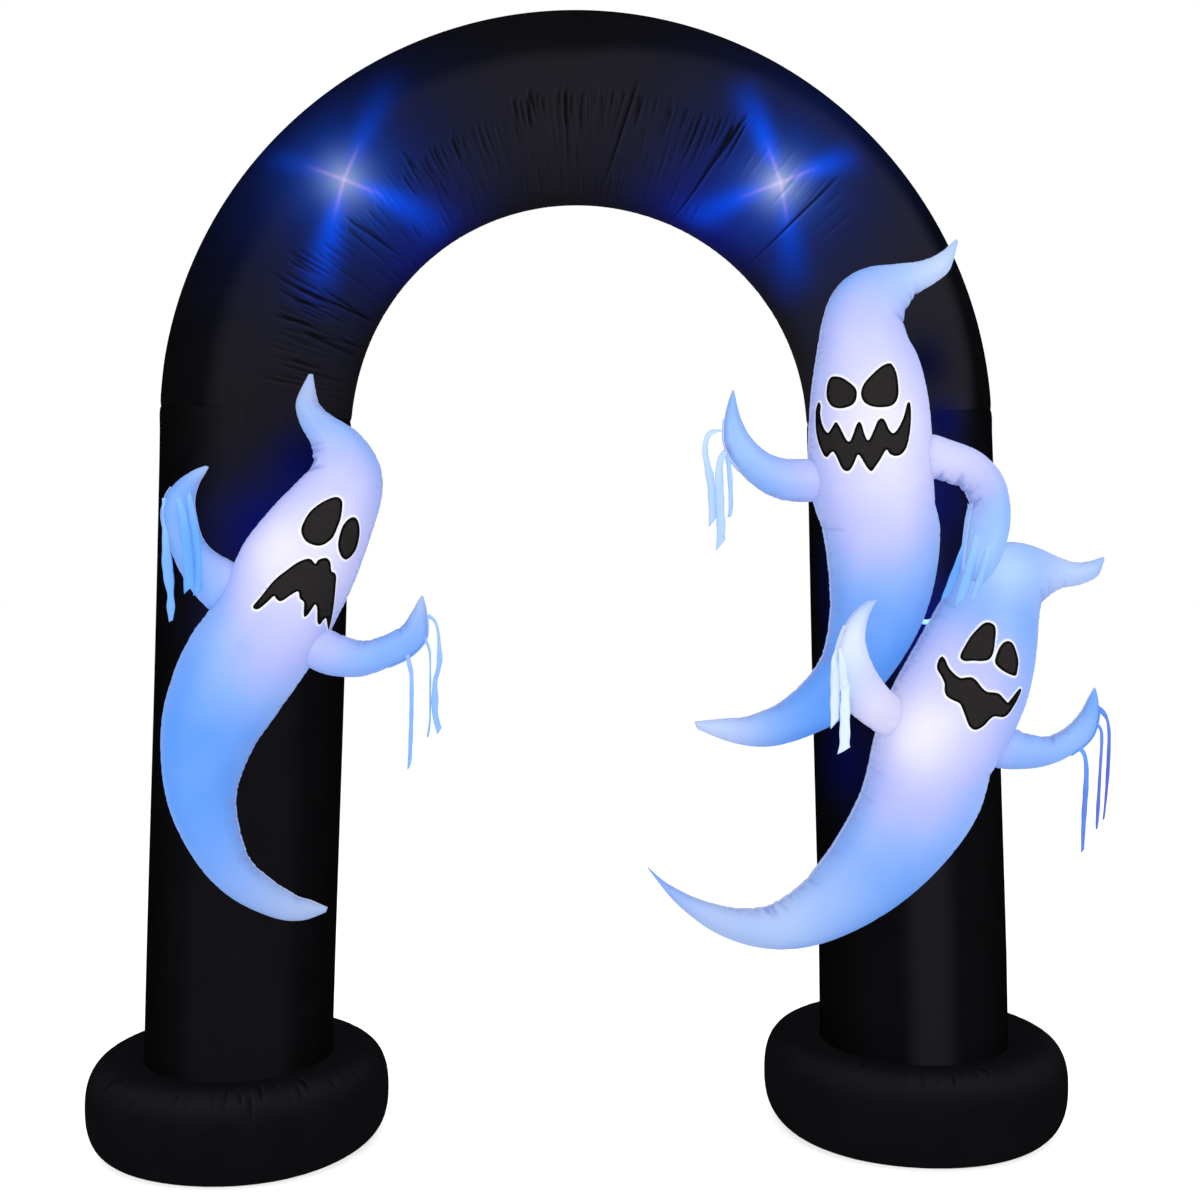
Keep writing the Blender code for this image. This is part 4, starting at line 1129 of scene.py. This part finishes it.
def laid_patch(name, outline, plane, body_tree, material):
    """Thin cloth cut to an outline and laid on a filled body where the camera sees that outline. Gives the
    piece, its rim and its area."""
    low, high = outline.min(0), outline.max(0)
    xs = np.arange(low[0] + PATCH_GRID / 2, high[0], PATCH_GRID)
    zs = np.arange(low[1] + PATCH_GRID / 2, high[1], PATCH_GRID)
    inside = [
        (x, z)
        for x in xs
        for z in zs
        if within(outline, x, z) and np.hypot(*(outline - (x, z)).T).min() > PATCH_GRID / 2
    ]
    count = len(outline)
    rim = [(i, (i + 1) % count) for i in range(count)]
    flat = [Vector(corner) for corner in outline.tolist() + inside]
    flat, _, triangles, *_ = delaunay_2d_cdt(flat, rim, [list(range(count))], 1, 1e-7)
    under, over, to_rim = [], [], []
    for x, z in flat:
        seen = Vector((x, ARCH_Y + plane, z)) - camera.location
        hit, normal, *_ = body_tree.ray_cast(camera.location, seen.normalized())
        if hit is None:
            hit, normal, *_ = body_tree.find_nearest(camera.location + seen)
        under.append(hit + normal * PATCH_UNDER)
        over.append(hit + normal * PATCH_OVER)
        to_rim.append(np.hypot(*(outline - (x, z)).T).min())
    size = len(flat)
    faces = [tuple(face) for face in triangles]
    faces += [tuple(corner + size for corner in reversed(face)) for face in triangles]
    faces += [(i, j, j + size, i + size) for i, j in rim]
    mesh = bpy.data.meshes.new(name)
    mesh.from_pydata(under + over, [], faces)
    mesh.attributes.new("to_rim", "FLOAT", "POINT").data.foreach_set("value", to_rim * 2)
    area = sum(face.area for face in mesh.polygons[: len(triangles)])
    return dressed(name, mesh, material), np.array(over[:count]), area


# Brushed polyester, woven and dyed charcoal: it is matt, a little mottled where its nap lies unevenly, and
# black where a dense line of stitches holds its edge down.
STITCHED, STITCH_SOFT = 0.0058, 0.001  # how wide that line is, and how softly it ends
face_cloth, tree, shader = new_material("charcoal_brushed_polyester", "#171515", 0.85, 0.04)
coords = add_node(tree, "ShaderNodeTexCoord").outputs["Object"]
nap = noise(tree, coords, 0.006, 5.0)
colour = mixed(tree, nap, linear("#0F0E0E"), linear("#1E1B1B"), 1.0)
line = faded(tree, painted(tree, "to_rim"), STITCHED + STITCH_SOFT, STITCHED - STITCH_SOFT)
colour = mixed(tree, line, colour, linear("#020202"), 1.0)
tree.links.new(colour, shader.inputs["Base Color"])
bumped(tree, shader, (nap, 0.2, 0.001))

for ghost, body in bodies.items():
    corners = np.empty(3 * len(body.data.vertices))
    body.data.vertices.foreach_get("co", corners)
    corners = corners.reshape(-1, 3)
    from_patch = np.ones(len(corners))
    for place, outline in FACES[ghost].items():
        outline = soft_loop(outline, 3) / 1000
        name = f"ghost_{ghost}_{place}"
        patch, rim, area = laid_patch(
            f"{name}_cloth", outline, FACE_PLANES[ghost], body_trees[ghost], face_cloth
        )
        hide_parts(name)
        for start in range(0, len(rim), 16):
            away = np.linalg.norm(corners[:, None] - rim[None, start : start + 16], axis=2).min(1)
            from_patch = np.minimum(from_patch, away)
    body.data.attributes["from_patch"].data.foreach_set("value", from_patch.astype(np.float32))

# ---------------------------------------------------------------- torn strips on the hands
# A narrow band of the ghost's own cloth is sewn round the lower edge of each hand, unlit and limp. Its free
# edge is torn into three long strips, which hang and twist under their own weight.
BAND_WIDTH = 0.018  # on each side of the hand's seam
BAND_OFF, BAND_FLARE = 0.0016, 0.0022  # how far it stands off the hand, and how much more at its edges
BANDS = {  # the rows of the arm's table between which each band lies
    "left_raised": (4, 6.0),
    "left_out": (4, 7.0),
    "upper_out": (4, 6.0),
    "upper_bent": (4, 7.5),
    "lower_raised": (4, 5.5),
    "lower_out": (4, 6.0),
}
# Torn strips, as they look from the camera on a plane at the hands: how far each hangs in front of its hand,
# then x, z and width from its root down, all in millimetres
STRIP_PLANE = -0.40
STRIPS = {
    "left_raised": [
        (0, [(-929, 1557, 9), (-928, 1488, 13), (-926, 1434, 20), (-922, 1390, 23), (-918, 1349, 14),
            (-918, 1319, 17), (-918, 1290, 9)]),
        (0, [(-905, 1580, 12), (-896, 1540, 18), (-886, 1490, 21), (-880, 1430, 22), (-879, 1358, 22)]),
        (0, [(-886, 1590, 10), (-874, 1545, 15), (-865, 1490, 17), (-860, 1430, 18), (-860, 1351, 18)]),
    ],
    "left_out": [
        (0, [(-409, 1220, 9), (-403, 1191, 10), (-399, 1169, 9), (-399, 1119, 9), (-400, 1066, 9),
            (-402, 1015, 9), (-404, 981, 8), (-407, 962, 5)]),
        (-4, [(-371, 1255, 7), (-361, 1229, 6), (-358, 1207, 4), (-358, 1132, 4), (-359, 1070, 4),
            (-364, 1032, 5)]),
        (4, [(-363, 1301, 9), (-347, 1287, 7), (-340, 1262, 6), (-338, 1231, 9), (-337, 1202, 12),
            (-341, 1178, 10), (-347, 1156, 10), (-348, 1120, 15), (-348, 1087, 14), (-343, 1061, 12),
            (-338, 1045, 11)]),
    ],
    "upper_out": [
        (-6, [(285, 1709, 11), (267, 1706, 11), (255, 1694, 12), (250, 1667, 13), (254, 1638, 14),
            (260, 1610, 17), (265, 1577, 18), (267, 1537, 18), (269, 1507, 19)]),
        (6, [(296, 1663, 11), (286, 1647, 14), (282, 1619, 18), (283, 1577, 19), (284, 1537, 19),
            (286, 1495, 19), (286, 1455, 20)]),
        (0, [(299, 1661, 11), (303, 1630, 11), (306, 1599, 11), (308, 1557, 10), (308, 1537, 10),
            (305, 1517, 9)]),
    ],
    "upper_bent": [
        (4, [(845, 1479, 13), (834, 1441, 15), (812, 1380, 17), (791, 1333, 13)]),
        (2, [(870, 1479, 20), (859, 1430, 22), (842, 1371, 22), (824, 1322, 20)]),
        (0, [(896, 1466, 15), (887, 1421, 15), (874, 1376, 15), (858, 1331, 15)]),
    ],
    "lower_raised": [
        (4, [(551, 1220, 13), (545, 1188, 18), (545, 1130, 20), (546, 1055, 21)]),
        (4, [(569, 1197, 18), (569, 1129, 20), (568, 1057, 22), (568, 1010, 23), (567, 993, 29)]),
        (0, [(560, 1224, 15), (563, 1188, 18), (565, 1134, 18)]),
    ],
    "lower_out": [
        (0, [(1100, 1000, 11), (1119, 981, 10), (1125, 950, 11), (1125, 913, 12), (1121, 836, 11),
            (1119, 758, 8)]),
        (4, [(1141, 1053, 9), (1157, 1036, 7), (1160, 1011, 7), (1159, 977, 7), (1156, 913, 7),
            (1153, 847, 8), (1151, 808, 4)]),
        (-4, [(1145, 1087, 13), (1163, 1073, 11), (1173, 1055, 7), (1177, 1027, 8), (1177, 993, 8),
            (1175, 938, 8), (1172, 885, 6), (1167, 830, 4)]),
    ],
}
STRIP_STEP, STRIP_COLUMNS = 0.005, 7
STRIP_THIN = 0.0006  # half the cloth, drawn thicker than the real 0.2 mm so that it closes
# How deep a painted shade of blue each hand's strips get, in the order in which they are listed above
STRIP_SHADE = {
    "left_raised": (0.55, 0.62, 0.60),
    "left_out": (0.50, 0.50, 0.45),
    "upper_out": (0.25, 0.27, 0.35),
    "upper_bent": (0.62, 0.50, 0.46),
    "lower_raised": (0.08, 0.05, 0.10),
    "lower_out": (0.85, 0.95, 1.00),
}


def shell(front, back):
    """Corners and faces of a thin closed cloth, from front[row][column] and back[row][column]."""
    rows, columns = front.shape[:2]
    grid = np.arange(rows * columns).reshape(rows, columns)
    other = grid + rows * columns
    faces = []
    for sheet, turn in ((grid, 1), (other, -1)):
        quads = np.stack([sheet[:-1, :-1], sheet[:-1, 1:], sheet[1:, 1:], sheet[1:, :-1]], -1).reshape(-1, 4)
        faces += quads[:, ::turn].tolist()
    rim = [*grid[0, :-1], *grid[:-1, -1], *grid[-1, :0:-1], *grid[:0:-1, 0]]
    faces += [(a, b, b + rows * columns, a + rows * columns) for a, b in zip(rim, rim[1:] + rim[:1])]
    return np.vstack([front.reshape(-1, 3), back.reshape(-1, 3)]), [tuple(map(int, face)) for face in faces]


def join(parts, front, back, shade):
    """Adds one thin cloth to the parts of a hand's piece, which are its corners, faces and shades."""
    corners, faces, shades = parts
    more, quads = shell(front, back)
    start = sum(map(len, corners))
    corners.append(more)
    faces.extend(tuple(corner + start for corner in face) for face in quads)
    shades.append(np.concatenate([shade.reshape(-1)] * 2))


# The same polyester, unlit and torn with raw edges: a limp pale blue cloth, with painted shade from blue to
# violet and a painted glow for the ghosts' light that falls on it.
STRIP_BASE, STRIP_GLOW = 0.40, 0.32  # its colour under the studio's light, and its share of the lamps'
strip_cloth, tree, shader = new_material("torn_white_polyester", "#A9C4F8", 0.6, 0.2)
stops = ((0.0, "#DCE8FE"), (0.25, "#A8C6FB"), (0.60, "#559CF6"), (1.0, "#4450BC"))
colour = ramp(tree, painted(tree, "shade"), stops)
coords = add_node(tree, "ShaderNodeTexCoord").outputs["Object"]
stretch = vectors(tree, "MULTIPLY", coords, (1 / 0.003, 1 / 0.003, 1 / 0.040))
thread = noise(tree, stretch, 1.0, 2.0)
colour = mixed(tree, thread, colour, linear("#6E8FE0"), 0.22)
lit(tree, shader, colour, STRIP_BASE, STRIP_GLOW)
bumped(tree, shader, (thread, 0.3, 0.001))

STRIP_CLEAR, STRIP_DROP = 0.005, 0.06  # how far the strips hang off the cloth behind them, and how soon
STRIP_BACK = 0.03  # behind the plane of the hands, where nothing else is behind a strip
STRIP_ROOT = 0.004  # how far inside the hand's face a strip starts
TWIST_LENGTH, WANDER_LENGTH = 0.19, 0.05  # over which a strip turns to and fro, and its raw edges wander
STRIP_CUP, END_CUT = 0.14, 0.02  # how much of its width a strip is cupped, and the length of its slanting end
eye = np.array(camera.location)


def seen_at(x, z):
    """The ways from the camera to places on the plane at the hands."""
    return np.stack([x, np.full(len(x), ARCH_Y + STRIP_PLANE), z], -1) - eye


def hand_band(skin, seam):
    """The band along a hand's outer seam, a little more than its own thickness off the hand's skin. Gives its
    middle and the way it faces."""
    normal = np.cross(np.gradient(skin, axis=0), np.roll(skin, -1, 1) - np.roll(skin, 1, 1))
    normal /= np.linalg.norm(normal, axis=-1, keepdims=True)
    outwards = skin[:, seam] - skin.mean(1)
    normal *= np.sign((normal[:, seam] * outwards).sum())
    near = np.linalg.norm(skin[0] - skin[0, seam], axis=-1) < BAND_WIDTH
    columns = np.arange(seam - near[:seam].sum(), seam + near[seam:].sum() + 1)
    flare = BAND_FLARE * np.abs(np.linspace(-1, 1, len(columns)))[None, :, None] ** 3
    return skin[:, columns] + normal[:, columns] * (BAND_OFF + flare), normal[:, columns]


def strip_depths(route, forward, hand_tree, bodies_behind):
    """How far back a strip starts, on its hand, and how far back it hangs, clear of all that is behind it."""
    seen = seen_at(route[:, 0], route[:, 1])
    behind = [ARCH_Y + STRIP_PLANE + STRIP_BACK]
    for tree_behind in (hand_tree, *bodies_behind):
        for way in seen[1:]:
            hit = tree_behind.ray_cast(Vector(eye), Vector(way).normalized())[0]
            behind.append(hit.y if hit else behind[0])
    root = hand_tree.ray_cast(Vector(eye), Vector(seen[0]).normalized())[0]
    root = root or hand_tree.find_nearest(Vector(eye + seen[0]))[0]
    return root.y + STRIP_ROOT, min(behind) - STRIP_CLEAR - forward / 1000


def torn_strip(route, start, hang, random):
    """A strip that starts on the hand, comes forward and then hangs straight down along its route. Gives its
    middle, the way it faces, how far down each row lies, and half its mean width."""
    drop = np.concatenate([[0], np.cumsum(np.hypot(*np.diff(route[:, :2], axis=0).T))])
    down = np.linspace(0, drop[-1], max(round(drop[-1] / STRIP_STEP), 8))
    # A soft curve through the route's points
    at = np.interp(down, drop, np.arange(len(route)))
    wide = np.vstack([2 * route[0] - route[1], route, 2 * route[-1] - route[-2], route[-1]])
    k = np.minimum(at.astype(int), len(route) - 2)
    x, z, width = between(*(wide[k + step] for step in range(4)), (at - k)[:, None]).T
    y = start + (hang - start) * np.sin(pi / 2 * np.clip(down / STRIP_DROP, 0, 1))
    path = eye + seen_at(x, z) * ((y - eye[1]) / (ARCH_Y + STRIP_PLANE - eye[1]))[:, None]
    # The strip turns a little to and fro, and its raw edges wander.
    wave = random.uniform(0, 2 * pi)
    twist = random.uniform(0.15, 0.35) * np.sin(2 * pi * down / TWIST_LENGTH + wave)
    half = width / 2 * (1 + 0.06 * np.sin(2 * pi * down / WANDER_LENGTH + 2 * wave))
    run = np.gradient(path, axis=0)
    run /= np.linalg.norm(run, axis=1, keepdims=True)
    side_way = np.column_stack([np.cos(twist), np.sin(twist), 0 * down])
    side_way -= run * (side_way * run).sum(1, keepdims=True)
    side_way = (side_way / np.linalg.norm(side_way, axis=1, keepdims=True))[:, None, :]
    facing = np.cross(run[:, None, :], side_way)
    u = np.linspace(-1, 1, STRIP_COLUMNS)[None, :, None]
    cup = STRIP_CUP * width[:, None, None] * (u**2 - 0.5)
    middle = path[:, None, :] + u * half[:, None, None] * side_way - cup * facing
    slant = -random.uniform(0.2, 0.7) * width[-1]
    middle[..., 2] -= slant * u[..., 0] * np.clip((down - down[-1]) / END_CUT + 1, 0, 1)[:, None] ** 2
    return middle, facing, down, half.mean()


for hand, (first, last) in BANDS.items():
    ghost, arm_name = hand.split("_")
    random = Random(f"{hand} strips")
    hand_tree = tree_of(bpy.data.objects[f"ghost_{ghost}_arm_{arm_name}_skin"])
    bodies_behind = [body_trees[ghost]] + ([body_trees["lower"]] if ghost == "upper" else [])
    parts = corners, faces, shades = [], [], []

    points, marks = arm_points[ghost, arm_name]
    last = np.interp(last, range(len(marks)), marks)
    skin = points[round(marks[first] * len(points)) : round(last * len(points))]
    middle, facing = hand_band(skin, ARM_COLUMNS[0])
    shade = np.full(middle.shape[:2], 0.6 * min(STRIP_SHADE[hand]))
    join(parts, middle + facing * STRIP_THIN, middle - facing * STRIP_THIN, shade)
    area = np.linalg.norm(np.diff(middle, axis=0), axis=-1).mean(1).sum() * 2 * BAND_WIDTH

    for (forward, route), deepest in zip(STRIPS[hand], STRIP_SHADE[hand]):
        route = np.array(route, float) / 1000
        start, hang = strip_depths(route, forward, hand_tree, bodies_behind)
        middle, facing, down, half = torn_strip(route, start, hang, random)
        # Painted light: each strip is paler near its hand and a deeper blue further down.
        shade = deepest * (0.75 + 0.25 * np.clip(2 * down / down[-1], 0, 1))
        shade = np.repeat(shade[:, None], STRIP_COLUMNS, 1)
        join(parts, middle + facing * STRIP_THIN, middle - facing * STRIP_THIN, shade)
        area += 2 * half * down[-1]

    mesh = bpy.data.meshes.new(f"ghost_{ghost}_strips_{arm_name}")
    mesh.from_pydata(np.vstack(corners).tolist(), [], faces)
    shades = np.concatenate(shades).astype(np.float32)
    mesh.attributes.new("shade", "FLOAT", "POINT").data.foreach_set("value", shades)
    piece = dressed(mesh.name, mesh, strip_cloth)
    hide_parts(f"ghost_{ghost}_fringe_{arm_name}")

# ---------------------------------------------------------------- tab and tie
# Two short white straps, sewn on at both ends: the tab holds the upper ghost to the right leg, and the tie
# holds the two ghosts on that leg to each other.
STRAP_STEPS, STRAP_COLUMNS = 24, 5
STRAP_SAG, STRAP_CUP = 0.002, 0.0012
STRAPS = (  # whether the left end is the front one, then the light and the dark of its ribs
    ("tab", True, "#F4F6FF", "#CFDBF8"),
    ("tie", False, "#A4D2FC", "#4C9CF0"),
)
for name, forward_first, pale, deep in STRAPS:
    # Polyester tape, woven in narrow ribs: white, and painted blue where a ghost's light falls on it from
    # both sides
    strap_cloth, tree, shader = new_material(f"white_polyester_tape_{name}", pale, 0.6, 0.3)
    coords = add_node(tree, "ShaderNodeTexCoord").outputs["Object"]
    tape_ribs = {"Vector": coords, "Scale": pi / 10 / 0.0015, "Distortion": 0.5}
    tape_ribs = add_node(tree, "ShaderNodeTexWave", tape_ribs, bands_direction="Z").outputs["Fac"]
    colour = mixed(tree, tape_ribs, linear(pale), linear(deep), 0.6)
    tree.links.new(colour, shader.inputs["Base Color"])
    bumped(tree, shader, (tape_ribs, 0.3, 0.0004))
    low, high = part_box(name)
    ends = [(low.x, low.y), (high.x, high.y)] if forward_first else [(low.x, high.y), (high.x, low.y)]
    t = np.linspace(0, 1, STRAP_STEPS)[:, None]
    flat = np.array(ends[0]) * (1 - t) + np.array(ends[1]) * t
    way = (np.array(ends[1]) - ends[0]) / np.linalg.norm(np.array(ends[1]) - ends[0])
    facing = np.array([way[1], -way[0], 0])
    half = (high.z - low.z) / 2
    u = np.linspace(-1, 1, STRAP_COLUMNS)[None, :, None]
    sag = STRAP_SAG * np.sin(pi * t)[:, :, None]
    level = np.broadcast_to(flat[:, None, :], (STRAP_STEPS, STRAP_COLUMNS, 2))
    middle = np.concatenate([level, (low.z + high.z) / 2 + u * half * 0.98 - sag], -1)
    middle = middle + facing * STRAP_CUP * (1 - u**2) * np.sin(pi * t)[:, :, None]
    corners, faces = shell(middle + facing * STRIP_THIN, middle - facing * STRIP_THIN)
    mesh = bpy.data.meshes.new(f"{name}_strap")
    mesh.from_pydata(corners.tolist(), [], faces)
    strap = dressed(mesh.name, mesh, strap_cloth)
    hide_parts(name)
